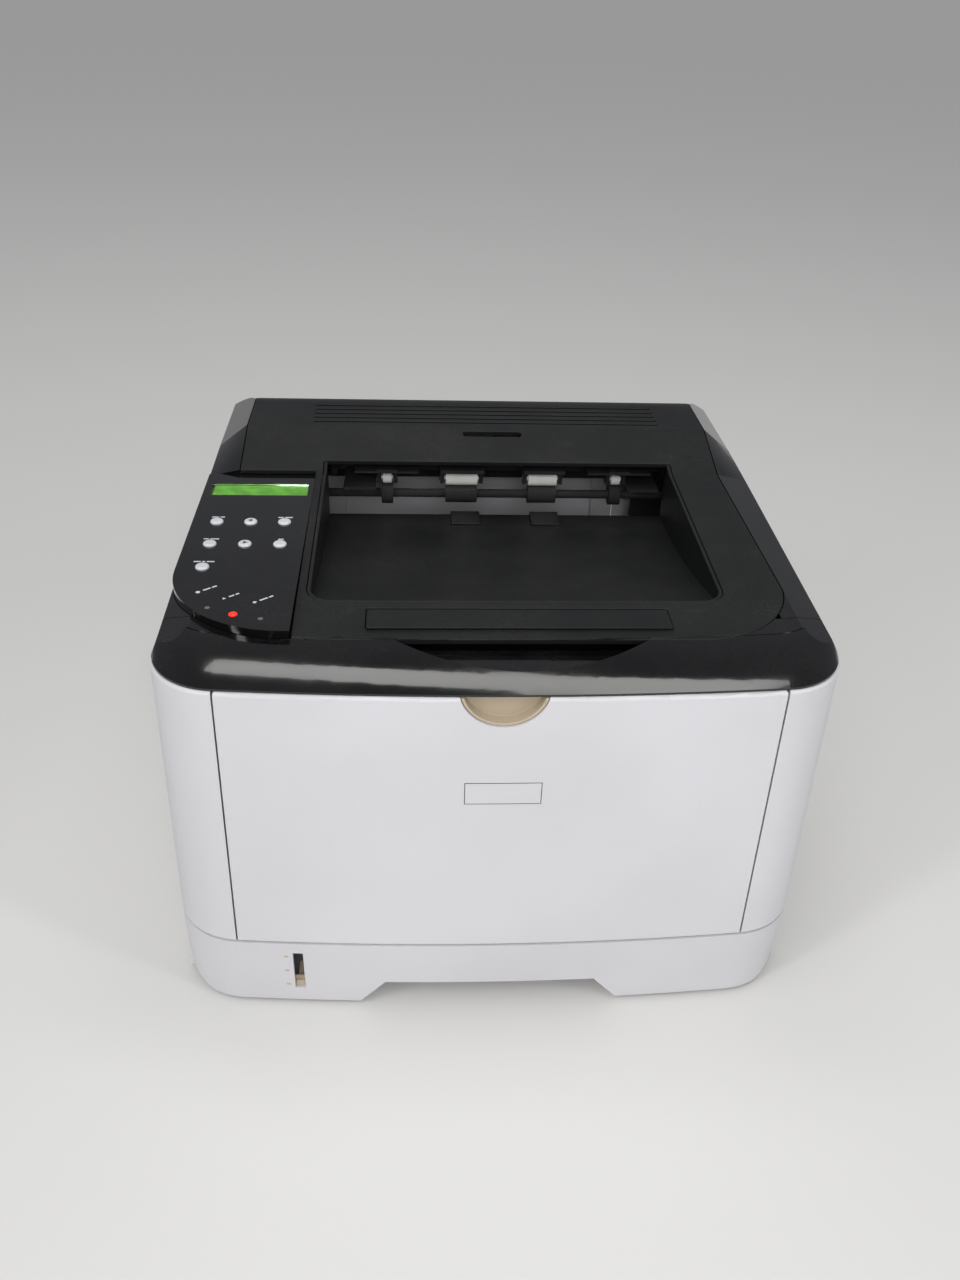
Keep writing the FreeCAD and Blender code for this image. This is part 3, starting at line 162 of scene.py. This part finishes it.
def make_dust():
    """Dust on faces that look up: a thin veil, thicker in patches, with a few single specks."""
    group, given, result = new_group("settled_dust", {"Amount": 0.2}, ("Veil", "Specks"))
    coordinates = add(group, "TexCoord")
    place = coordinates.outputs["Object"]
    upward = add(group, "SeparateXYZ", None, {"Vector": coordinates.outputs["Normal"]}).outputs["Z"]
    facing = ramp(group, upward, 0.3, 0.95)
    patches = add(group, "TexNoise", {"Scale": 14.0, "Detail": 6.0, "Roughness": 0.7}, {"Vector": place})
    powder = add(group, "TexNoise", {"Scale": 900.0, "Detail": 2.0}, {"Vector": place})
    veil = maths(group, "MULTIPLY", ramp(group, patches.outputs["Fac"], 0.35, 0.75),
                 ramp(group, powder.outputs["Fac"], 0.35, 0.7))
    veil = maths(group, "MULTIPLY", veil, facing)
    veil = maths(group, "MULTIPLY", veil, given.outputs["Amount"], clamp=True)
    group.links.new(veil, result.inputs["Veil"])
    cells = add(group, "TexVoronoi", {"Scale": 170.0}, {"Vector": place})
    dots = ramp(group, cells.outputs["Distance"], 0.07, 0.035)
    pick = add(group, "SeparateColor", None, {"Color": cells.outputs["Color"]}).outputs["Red"]
    dots = maths(group, "MULTIPLY", dots, ramp(group, pick, 0.80, 0.84))
    dots = maths(group, "MULTIPLY", dots, facing)
    specks = maths(group, "MULTIPLY", dots, given.outputs["Amount"], clamp=True)
    group.links.new(specks, result.inputs["Specks"])
    return group


def make_scratches():
    """Hairlines: thin level lines of a stretched noise, in two directions, broken into short runs."""
    group, given, result = new_group("hairline_scratches", {"Amount": 0.3, "Width": 0.006}, ("Mask",))
    place = add(group, "TexCoord").outputs["Object"]
    total = None
    for turn, stretch, seed in ((0.35, 26.0, 0.0), (1.9, 34.0, 4.7)):
        across = {"Rotation": (0, 0, turn), "Scale": (1, stretch, 1), "Location": (seed, 0, 0)}
        turned = add(group, "Mapping", across, {"Vector": place})
        lines = add(group, "TexNoise", {"Scale": 6.0, "Detail": 1.0}, {"Vector": turned.outputs["Vector"]})
        offset = maths(group, "ABSOLUTE", maths(group, "SUBTRACT", lines.outputs["Fac"], 0.5), 0.0)
        line = ramp(group, offset, given.outputs["Width"], 0.0)
        runs = add(group, "TexNoise", {"Scale": 21.0 + seed}, {"Vector": place})
        line = maths(group, "MULTIPLY", line, ramp(group, runs.outputs["Fac"], 0.56, 0.64))
        total = line if total is None else maths(group, "MAXIMUM", total, line)
    mask = maths(group, "MULTIPLY", total, given.outputs["Amount"], clamp=True)
    group.links.new(mask, result.inputs["Mask"])
    return group


def make_smudges():
    """Cloudy smears from fingers and wiping, stretched a little across the printer."""
    group, given, result = new_group("hand_smudges", {"Amount": 0.3}, ("Mask",))
    place = add(group, "TexCoord").outputs["Object"]
    wiped = add(group, "Mapping", {"Scale": (0.6, 1.5, 1.0)}, {"Vector": place})
    cloud = add(group, "TexNoise", {"Scale": 18.0, "Detail": 7.0, "Roughness": 0.62, "Distortion": 0.8},
                {"Vector": wiped.outputs["Vector"]})
    mask = maths(group, "MULTIPLY", ramp(group, cloud.outputs["Fac"], 0.42, 0.78),
                 given.outputs["Amount"], clamp=True)
    group.links.new(mask, result.inputs["Mask"])
    return group


GROUPS = {group.name: group for group in (make_grain(), make_dust(), make_scratches(), make_smudges())}
print("groups:", sorted(GROUPS))

# %% [markdown]
# ## Moulded plastics
# Every plastic here is the same recipe with other numbers: a base colour that drifts a little, mould
# grain as bump, then dust, scratches and smudges on top. Only what changes over the surface is
# linked; steady numbers, such as the coat, stay on the shader.
# %% Plastic recipe
def new_material(name):
    material = bpy.data.materials.new(name)
    material.use_nodes = True
    return material, material.node_tree, material.node_tree.nodes["Principled BSDF"]


def use_group(tree, name, **values):
    node = tree.nodes.new("ShaderNodeGroup")
    node.node_tree = GROUPS[name]
    for label, value in values.items():
        node.inputs[label].default_value = value
    return node


def mix_colour(tree, factor, first, second):
    """Mix of two colours. first is a socket or a colour, second is a colour."""
    node = tree.nodes.new("ShaderNodeMix")
    node.data_type = "RGBA"
    tree.links.new(factor, node.inputs["Factor"])
    if isinstance(first, tuple):
        node.inputs["A"].default_value = (*first, 1.0)
    else:
        tree.links.new(first, node.inputs["A"])
    node.inputs["B"].default_value = (*second, 1.0)
    return node.outputs["Result"]


def plastic(name, colour, drift, roughness, grain=2500.0, depth=0.02, dust=0.1, scratch=0.1, smudge=0.0,
            dust_colour=(0.55, 0.53, 0.5), scratch_colour=(0.4, 0.4, 0.4), **shader_values):
    """Moulded plastic. colour drifts towards drift; depth is the grain's height in millimetres."""
    material, tree, shader = new_material(name)
    texture = use_group(tree, "mould_grain", Scale=grain)
    settled = use_group(tree, "settled_dust", Amount=dust)
    marks = use_group(tree, "hairline_scratches", Amount=scratch)
    base = mix_colour(tree, texture.outputs["Mottle"], colour, drift)
    base = mix_colour(tree, settled.outputs["Veil"], base, dust_colour)
    base = mix_colour(tree, marks.outputs["Mask"], base, scratch_colour)
    base = mix_colour(tree, settled.outputs["Specks"], base, dust_colour)
    tree.links.new(base, shader.inputs["Base Color"])
    rough = maths(tree, "MULTIPLY_ADD", settled.outputs["Veil"], 0.4)
    steady = ramp(tree, texture.outputs["Mottle"], 0.0, 1.0, roughness, roughness + 0.05)
    tree.links.new(steady, rough.node.inputs[2])
    if smudge:
        smears = use_group(tree, "hand_smudges", Amount=smudge)
        rough = maths(tree, "ADD", rough, maths(tree, "MULTIPLY", smears.outputs["Mask"], 0.3), clamp=True)
    tree.links.new(rough, shader.inputs["Roughness"])
    bump = add(tree, "Bump", {"Strength": 1.0, "Distance": depth * MM}, {"Height": texture.outputs["Height"]})
    tree.links.new(bump.outputs["Normal"], shader.inputs["Normal"])
    for label, value in shader_values.items():
        shader.inputs[label.replace("_", " ")].default_value = value
    return material


FINISHES = {
    "white_plastic": plastic("white_plastic", (0.66, 0.65, 0.675), (0.62, 0.612, 0.635), 0.38, 1900.0, 0.014,
                             dust=0.03, scratch=0.04, scratch_colour=(0.45, 0.45, 0.46)),
    "black_deck": plastic("black_deck", (0.0055, 0.006, 0.006), (0.0075, 0.008, 0.008), 0.46, 1500.0, 0.025,
                          dust=0.03, scratch=0.12, scratch_colour=(0.07, 0.07, 0.07)),
    "gloss_black": plastic("gloss_black", (0.002, 0.002, 0.0022), (0.003, 0.003, 0.0033), 0.09, 500.0, 0.001,
                           dust=0.02, scratch=0.1, scratch_colour=(0.08, 0.08, 0.08), smudge=0.12,
                           Coat_Weight=0.5, Coat_Roughness=0.04),
    "beige_plastic": plastic("beige_plastic", (0.52, 0.43, 0.31), (0.46, 0.38, 0.28), 0.45, 1900.0, 0.015,
                             dust=0.05),
    "grey_plastic": plastic("grey_plastic", (0.13, 0.13, 0.14), (0.15, 0.15, 0.155), 0.5, 1500.0, 0.03),
    "dark_grey_plastic": plastic("dark_grey_plastic", (0.02, 0.02, 0.022), (0.028, 0.028, 0.03), 0.42, 1500.0,
                                 0.025, dust=0.05),
    "button_plastic": plastic("button_plastic", (0.66, 0.68, 0.7), (0.6, 0.62, 0.65), 0.22, 3000.0, 0.002,
                              dust=0.03, scratch=0.08, Coat_Weight=0.5, Coat_Roughness=0.08),
    "rubber": plastic("rubber", (0.018, 0.018, 0.018), (0.026, 0.025, 0.024), 0.75, 2600.0, 0.03, dust=0.1),
    "roller_white": plastic("roller_white", (0.86, 0.85, 0.8), (0.8, 0.79, 0.74), 0.35, 2200.0, 0.005,
                            dust=0.02),
    "gear_plastic": plastic("gear_plastic", (0.68, 0.66, 0.56), (0.62, 0.6, 0.5), 0.38, 2200.0, 0.006),
    "circuit_board": plastic("circuit_board", (0.02, 0.13, 0.05), (0.03, 0.17, 0.07), 0.35, 700.0, 0.03),
    "drum_coating": plastic("drum_coating", (0.03, 0.16, 0.15), (0.04, 0.19, 0.17), 0.12, 400.0, 0.002,
                            Coat_Weight=0.8),
}
print("plastics:", sorted(FINISHES))

# %% [markdown]
# ## Metals, glass and lights
# Sheet steel and shafts are brushed, so their roughness follows a stretched noise. The display is a
# lit layer under a clear window, and the alert lamp glows.
# %% Metals and lit parts
def metal(name, colour, roughness, stretch):
    """Brushed or drawn metal. stretch is the scale of the brush lines along X, Y and Z."""
    material, tree, shader = new_material(name)
    place = add(tree, "TexCoord").outputs["Object"]
    drawn = add(tree, "Mapping", {"Scale": stretch}, {"Vector": place})
    lines = add(tree, "TexNoise", {"Scale": 60.0, "Detail": 5.0}, {"Vector": drawn.outputs["Vector"]})
    tree.links.new(ramp(tree, lines.outputs["Fac"], 0.3, 0.7, roughness - 0.08, roughness + 0.12),
                   shader.inputs["Roughness"])
    dull = tuple(0.8 * part for part in colour)
    tree.links.new(mix_colour(tree, lines.outputs["Fac"], colour, dull), shader.inputs["Base Color"])
    bump = add(tree, "Bump", {"Distance": 0.01 * MM}, {"Height": lines.outputs["Fac"]})
    tree.links.new(bump.outputs["Normal"], shader.inputs["Normal"])
    shader.inputs["Metallic"].default_value = 1.0
    return material


def lit(name, colour, glow, strength, cell):
    """Lit layer, with a soft fall-off of its own in cells of a size."""
    material, tree, shader = new_material(name)
    place = add(tree, "TexCoord").outputs["Object"]
    cloud = add(tree, "TexNoise", {"Scale": cell, "Detail": 2.0}, {"Vector": place})
    level = ramp(tree, cloud.outputs["Fac"], 0.25, 0.75)
    darker = tuple(0.7 * part for part in glow)
    tree.links.new(mix_colour(tree, level, darker, glow), shader.inputs["Emission Color"])
    shader.inputs["Emission Strength"].default_value = strength
    shader.inputs["Roughness"].default_value = 0.3
    tree.links.new(mix_colour(tree, level, colour, darker), shader.inputs["Base Color"])
    return material


def clear_window(name, tint, roughness):
    material, tree, shader = new_material(name)
    smears = use_group(tree, "hand_smudges", Amount=0.5)
    rough = ramp(tree, smears.outputs["Mask"], 0.0, 1.0, roughness, roughness + 0.12)
    tree.links.new(rough, shader.inputs["Roughness"])
    shader.inputs["Base Color"].default_value = (*tint, 1.0)
    shader.inputs["Transmission Weight"].default_value = 1.0
    shader.inputs["IOR"].default_value = 1.49
    return material


FINISHES["steel"] = metal("steel", (0.55, 0.56, 0.57), 0.25, (2.0, 40.0, 40.0))
FINISHES["aluminium"] = metal("aluminium", (0.72, 0.73, 0.74), 0.2, (2.0, 40.0, 40.0))
FINISHES["zinc_sheet"] = metal("zinc_sheet", (0.58, 0.6, 0.62), 0.35, (20.0, 4.0, 20.0))
FINISHES["lcd"] = lit("lcd", (0.03, 0.12, 0.01), (0.15, 0.5, 0.02), 0.8, 120.0)
FINISHES["red_lens"] = lit("red_lens", (0.5, 0.02, 0.01), (1.0, 0.02, 0.01), 2.2, 300.0)
FINISHES["clear_window"] = clear_window("clear_window", (0.93, 0.97, 0.93), 0.03)
missing = {slot for slot in slot_of.values() if slot not in FINISHES}
print("finishes without a recipe:", missing or "none")

# %% [markdown]
# ## Rounding the moulded edges
# CAD edges are razor sharp, and a moulded cover never is: a small radius catches the light along a
# rim. Six matt covers get one. The CAD meshes stay untouched, so a merged copy stands for each of the
# six, its flat faces joined, and a Bevel modifier rounds what is sharper than a given angle. Every
# other part shows its CAD mesh as it is, because the curved glossy ones already carry their rounds.
# %% Softened covers
def finish_node(name):
    """Gives a CAD part its material."""
    mesh = nodes[name].data
    mesh.materials.clear()
    mesh.materials.append(FINISHES[slot_of[name]])


MERGE_MM, SLIVER_MM, FLAT_DEGREES = 0.004, 0.002, 0.2


def softened(name, width, angle=30.0, segments=3):
    """Merged copy of a CAD part with rounded edges, which stands for that part. width is in mm."""
    source = nodes[name]
    mesh = bpy.data.meshes.new(name + "_shell")
    work = bmesh.new()
    work.from_mesh(source.data)
    bmesh.ops.remove_doubles(work, verts=work.verts, dist=MERGE_MM * MM)
    bmesh.ops.dissolve_degenerate(work, edges=work.edges, dist=SLIVER_MM * MM)
    bmesh.ops.dissolve_limit(work, angle_limit=math.radians(FLAT_DEGREES), verts=work.verts,
                             edges=work.edges)
    work.to_mesh(mesh)
    work.free()
    mesh.shade_smooth()
    mesh.set_sharp_from_angle(angle=math.radians(angle))
    piece = bpy.data.objects.new(name + "_shell", mesh)
    bpy.context.scene.collection.objects.link(piece)
    bevel = piece.modifiers.new("rounded edges", "BEVEL")
    bevel.width = width * MM
    bevel.segments = segments
    bevel.limit_method = "ANGLE"
    bevel.angle_limit = math.radians(angle)
    bevel.harden_normals = True
    bevel.use_clamp_overlap = False
    bevel.miter_outer = "MITER_ARC"
    mesh.materials.append(FINISHES[slot_of[name]])
    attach(piece, body_of[name])
    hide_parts(name)
    return piece


# Width of each rounded edge, in millimetres.
EDGES = {"rear_cover": 0.5, "rear_frame_cover": 0.5, "top_cover": 0.6, "stop_fence": 0.8, "output_tray": 0.5,
         "handle_cup": 0.5}
for name in sorted(nodes):
    finish_node(name)
shells = {name: softened(name, width) for name, width in EDGES.items()}
print("rounded:", len(shells), "covers;", len(nodes), "parts finished")

# %% [markdown]
# ## Printed marks and the blank plates
# Ink and foil are only a few hundredths of a millimetre thick. Each mark starts as a flat grid, is
# dropped onto the part that carries it so that it follows the curve there, and is given that
# thickness. The marks beside the keys are plain dashes, arrows and dots: they show where words go.
# %% Dropping marks onto a part
INK_LIFT = 0.03 * MM
INK_THICKNESS = 0.03 * MM
DROP_START, DROP_REACH = 0.05, 0.12  # metres outside the part, and how far a point may fall


def new_piece(name, work, slot, body, smooth=False):
    """Object made from a bmesh, with its finish, riding on a body."""
    mesh = bpy.data.meshes.new(name)
    work.to_mesh(mesh)
    work.free()
    if smooth:
        mesh.shade_smooth()
    mesh.materials.append(FINISHES[slot])
    piece = bpy.data.objects.new(name, mesh)
    bpy.context.scene.collection.objects.link(piece)
    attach(piece, body)
    return piece


def surface_of(node):
    """Search tree over a CAD part's surface, for dropping marks onto it."""
    work = bmesh.new()
    work.from_mesh(nodes[node].data)
    tree = BVHTree.FromBMesh(work)
    work.free()
    return tree


def bar(work, centre, width, height, turn=0.0):
    """Flat bar in the XY plane, in millimetres, cut so that it can follow a curve."""
    place = Matrix.Translation(Vector((*centre, 0)) * MM) @ Matrix.Rotation(turn, 4, "Z")
    size = Matrix.Diagonal((width / 2 * MM, height / 2 * MM, 1, 1))
    bmesh.ops.create_grid(work, x_segments=6, y_segments=1, size=1.0, matrix=place @ size)


def polygon(work, centre, radius, sides, turn=0.0):
    place = Matrix.Translation(Vector((*centre, 0)) * MM) @ Matrix.Rotation(turn, 4, "Z")
    bmesh.ops.create_circle(work, cap_ends=True, segments=sides, radius=radius * MM, matrix=place)


def dropped(name, work, node, plane, away, slot, lift=INK_LIFT, thickness=INK_THICKNESS):
    """Turns marks drawn in XY by plane, drops them on node from the side away, and thickens them."""
    bmesh.ops.transform(work, matrix=plane, verts=work.verts)
    tree = surface_of(node)
    missed = 0
    for vertex in work.verts:
        hit = tree.ray_cast(vertex.co + away * DROP_START, -away, DROP_REACH)[0]
        missed += hit is None
        if hit is not None:
            vertex.co = hit + away * lift
    bmesh.ops.recalc_face_normals(work, faces=work.faces)
    for face in work.faces:
        if face.normal.dot(away) < 0:
            face.normal_flip()
    bmesh.ops.solidify(work, geom=list(work.faces), thickness=thickness)
    bmesh.ops.recalc_face_normals(work, faces=work.faces)
    if missed:
        print(name, "has", missed, "points that missed", node)
    return new_piece(name, work, slot, body_of[node])


UP = Vector((0, 0, 1))
FRONT = Vector((0, -1, 0))
BACK = Vector((0, 1, 0))


def level(height):
    """Plane of marks on a top face at a height in millimetres."""
    return Matrix.Translation((0, 0, height * MM))


def upright(depth, turn=0.0):
    """Plane of marks on a front face (turn 0) or a back face (turn 180 degrees) at a depth in millimetres."""
    stand = Matrix.Rotation(math.radians(90), 4, "X")
    return Matrix.Translation((0, depth * MM, 0)) @ Matrix.Rotation(turn, 4, "Z") @ stand


# %% Marks on the control panel
KEY_COLUMNS = (-166.0, -145.5, -125.0)
KEY_ROWS = (-28.0, -58.0, -87.0)
PANEL_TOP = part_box("panel_plate")[1][2] / MM
LABELS = ((KEY_COLUMNS[0], KEY_ROWS[0], (4.2, 2.8)), (KEY_COLUMNS[2], KEY_ROWS[0], (3.4, 4.6)),
          (KEY_COLUMNS[0], KEY_ROWS[1], (3.0, 5.2)), (KEY_COLUMNS[2], KEY_ROWS[1], (3.2,)),
          (KEY_COLUMNS[0], KEY_ROWS[2], (4.0, 1.6, 4.4)))
DASH_GAP = 0.9
KEY_LABEL_RISE, KEY_DASH_HEIGHT = 6.9, 1.3
work = bmesh.new()
for x, y, dashes in LABELS:
    start = x - (sum(dashes) + DASH_GAP * (len(dashes) - 1)) / 2
    for width in dashes:
        bar(work, (start + width / 2, y + KEY_LABEL_RISE), width, KEY_DASH_HEIGHT)
        start += width + DASH_GAP
LABEL_SLANT = math.radians(38)
SYMBOL_RADIUS, SYMBOL_TO_DASH, LAMP_DASH_HEIGHT = 1.3, 3.2, 1.2
# Place, dash lengths and the sides of the symbol: a disc, a triangle and a square.
LAMP_LABELS = ((-164.0, -116.0, (4.6, 3.0), 24), (-149.0, -123.0, (3.2, 2.2), 3),
               (-132.0, -127.0, (5.0, 2.6), 4))
for x, y, dashes, sides in LAMP_LABELS:
    reach = SYMBOL_TO_DASH
    for width in dashes:
        along = reach + width / 2
        centre = (x + along * math.cos(LABEL_SLANT), y + along * math.sin(LABEL_SLANT))
        bar(work, centre, width, LAMP_DASH_HEIGHT, LABEL_SLANT)
        reach += width + DASH_GAP
    polygon(work, (x, y), SYMBOL_RADIUS, sides, LABEL_SLANT)
dropped("panel_marks", work, "panel_plate", level(PANEL_TOP), UP, "button_plastic")
ARROW_RADIUS, STATUS_RADIUS = 1.9, 1.4
for node, turn in (("button_up", 90), ("button_down", -90)):
    low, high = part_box(node)
    work = bmesh.new()
    middle = ((low[0] + high[0]) / 2 / MM, (low[1] + high[1]) / 2 / MM)
    polygon(work, middle, ARROW_RADIUS, 3, math.radians(turn))
    dropped(node + "_arrow", work, node, level(high[2] / MM), UP, "dark_grey_plastic")
work = bmesh.new()
for place in ((-156.5, -133.0), (-127.0, -144.5)):
    polygon(work, place, STATUS_RADIUS, 32)
dropped("status_windows", work, "panel_plate", level(PANEL_TOP), UP, "grey_plastic")
print("panel marks, two arrows and two dark lamp windows")

# %% Alert lamp dome
low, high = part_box("alert_lens")
LAMP_RADIUS, LAMP_RISE = 2.3, 0.9
work = bmesh.new()
squash = Matrix.Translation(((low[0] + high[0]) / 2, (low[1] + high[1]) / 2, PANEL_TOP * MM))
squash = squash @ Matrix.Diagonal((1, 1, LAMP_RISE / LAMP_RADIUS, 1))
bmesh.ops.create_uvsphere(work, u_segments=32, v_segments=16, radius=LAMP_RADIUS * MM, matrix=squash)
new_piece("alert_dome", work, "red_lens", body_of["alert_lens"], smooth=True)
print("alert lamp", 2 * LAMP_RADIUS, "mm across")

# %% Blank nameplate, gauge marks and rear label
PLATE_CENTRE, PLATE_WIDTH, PLATE_HEIGHT, PLATE_BORDER = (1.35, 168.9), 41.5, 14.4, 0.45
FOIL = 0.01 * MM
door_front = upright(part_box("bypass_door")[0][1] / MM)
work = bmesh.new()
bar(work, PLATE_CENTRE, PLATE_WIDTH, PLATE_HEIGHT)
dropped("nameplate_edge", work, "bypass_door", door_front, FRONT, "dark_grey_plastic", FOIL, FOIL)
work = bmesh.new()
bar(work, PLATE_CENTRE, PLATE_WIDTH - 2 * PLATE_BORDER, PLATE_HEIGHT - 2 * PLATE_BORDER)
dropped("nameplate_face", work, "bypass_door", door_front, FRONT, "white_plastic", INK_LIFT, FOIL)
work = bmesh.new()
GAUGE_X, GAUGE_HEIGHTS, GAUGE_SIZE = -120.5, (44.0, 31.0, 18.0), (2.6, 1.4)
for height in GAUGE_HEIGHTS:
    bar(work, (GAUGE_X, height), *GAUGE_SIZE)
dropped("gauge_marks", work, "cassette_front", upright(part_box("cassette_front")[0][1] / MM), FRONT,
        "beige_plastic")
LABEL_CENTRE, LABEL_SIZE = (30.0, 44.0), (76.0, 30.0)
work = bmesh.new()
bar(work, LABEL_CENTRE, *LABEL_SIZE)
dropped("rating_label", work, "rear_frame_cover", upright(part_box("rear_frame_cover")[1][1] / MM, math.pi),
        BACK, "button_plastic")
print("nameplate, gauge marks and rear label, all blank")

# %% Rear screws
SCREW_PLACES = [(side * 127.0, height) for side in (-1, 1) for height in (48.0, 128.0, 208.0)]
SCREW_RADIUS, SCREW_TAPER, SCREW_SEAT = 3.3, 0.5, 0.5
rear_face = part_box("rear_frame_cover")[1][1]
work = bmesh.new()
for x, z in SCREW_PLACES:
    place = Matrix.Translation((x * MM, rear_face + SCREW_SEAT * MM, z * MM))
    place = place @ Matrix.Rotation(math.radians(-90), 4, "X")
    made = bmesh.ops.create_cone(work, cap_ends=True, segments=32, radius1=SCREW_RADIUS * MM,
                                 radius2=(SCREW_RADIUS - SCREW_TAPER) * MM, depth=1.4 * MM,
                                 matrix=place)
    outer = max({face for vertex in made["verts"] for face in vertex.link_faces},
                key=lambda face: face.calc_center_median().y)
    bmesh.ops.inset_region(work, faces=[outer], thickness=1.1 * MM)
    bmesh.ops.inset_region(work, faces=[outer], thickness=0.1 * MM, depth=-0.8 * MM)
bmesh.ops.recalc_face_normals(work, faces=work.faces)
new_piece("rear_screws", work, "steel", body_of["rear_frame_cover"])
print(len(SCREW_PLACES), "screws in the back wall")

# %% [markdown]
# ## Floor and light
# The printer stands on a plain pale floor. A wide soft light overhead does most of the work, a key
# from the left shapes the front, a fill from the right opens the far side, and a low light reaches
# into the output bin.
# %% Stage
FLOOR_HALF = 60.0
floor_mesh = bpy.data.meshes.new("floor")
work = bmesh.new()
bmesh.ops.create_grid(work, x_segments=1, y_segments=1, size=FLOOR_HALF)
work.to_mesh(floor_mesh)
work.free()
floor = bpy.data.objects.new("floor", floor_mesh)
bpy.context.scene.collection.objects.link(floor)
floor_paint, floor_tree, floor_shader = new_material("pale_floor")
floor_shader.inputs["Base Color"].default_value = (0.66, 0.655, 0.64, 1.0)
floor_shader.inputs["Roughness"].default_value = 0.65
floor_mesh.materials.append(floor_paint)


def soft_light(name, place, target, size, power, colour=(1.0, 1.0, 1.0)):
    """Rectangular area light at place that faces target."""
    data = bpy.data.lights.new(name, "AREA")
    data.shape = "RECTANGLE"
    data.size, data.size_y = size
    data.energy = power
    data.color = colour
    light = bpy.data.objects.new(name, data)
    facing = (Vector(target) - Vector(place)).to_track_quat("-Z", "Y")
    light.matrix_world = Matrix.Translation(Vector(place)) @ facing.to_matrix().to_4x4()
    bpy.context.scene.collection.objects.link(light)
    return light


soft_light("overhead", (0.1, 0.2, 2.2), (0, 0, 0.2), (1.7, 0.45), 10.0, (1.0, 0.99, 0.97))
soft_light("key", (-1.5, -1.3, 1.5), (0, 0, 0.12), (0.25, 0.9), 9.0)
soft_light("fill", (1.6, -1.2, 1.1), (0, 0, 0.12), (0.25, 1.0), 8.0)
soft_light("bin light", (-0.05, -1.3, 0.9), (0.01, 0.08, 0.23), (0.5, 0.3), 7.0).visible_glossy = False
sun_data = bpy.data.lights.new("wide sky", "SUN")
sun_data.energy = 1.15
sun_data.angle = math.radians(50)
sun = bpy.data.objects.new("wide sky", sun_data)
sun.matrix_world = Vector((0.25, 0.45, -1.0)).to_track_quat("-Z", "Y").to_matrix().to_4x4()
sun.visible_glossy = False
bpy.context.scene.collection.objects.link(sun)
world = bpy.data.worlds.new("room")
bpy.context.scene.world = world
world.use_nodes = True
world.node_tree.nodes["Background"].inputs["Color"].default_value = (0.92, 0.94, 1.0, 1.0)
world.node_tree.nodes["Background"].inputs["Strength"].default_value = 0.2
bpy.context.scene.view_settings.view_transform = "Standard"
print("four soft lights and a wide sky over a", 2 * FLOOR_HALF, "m floor")
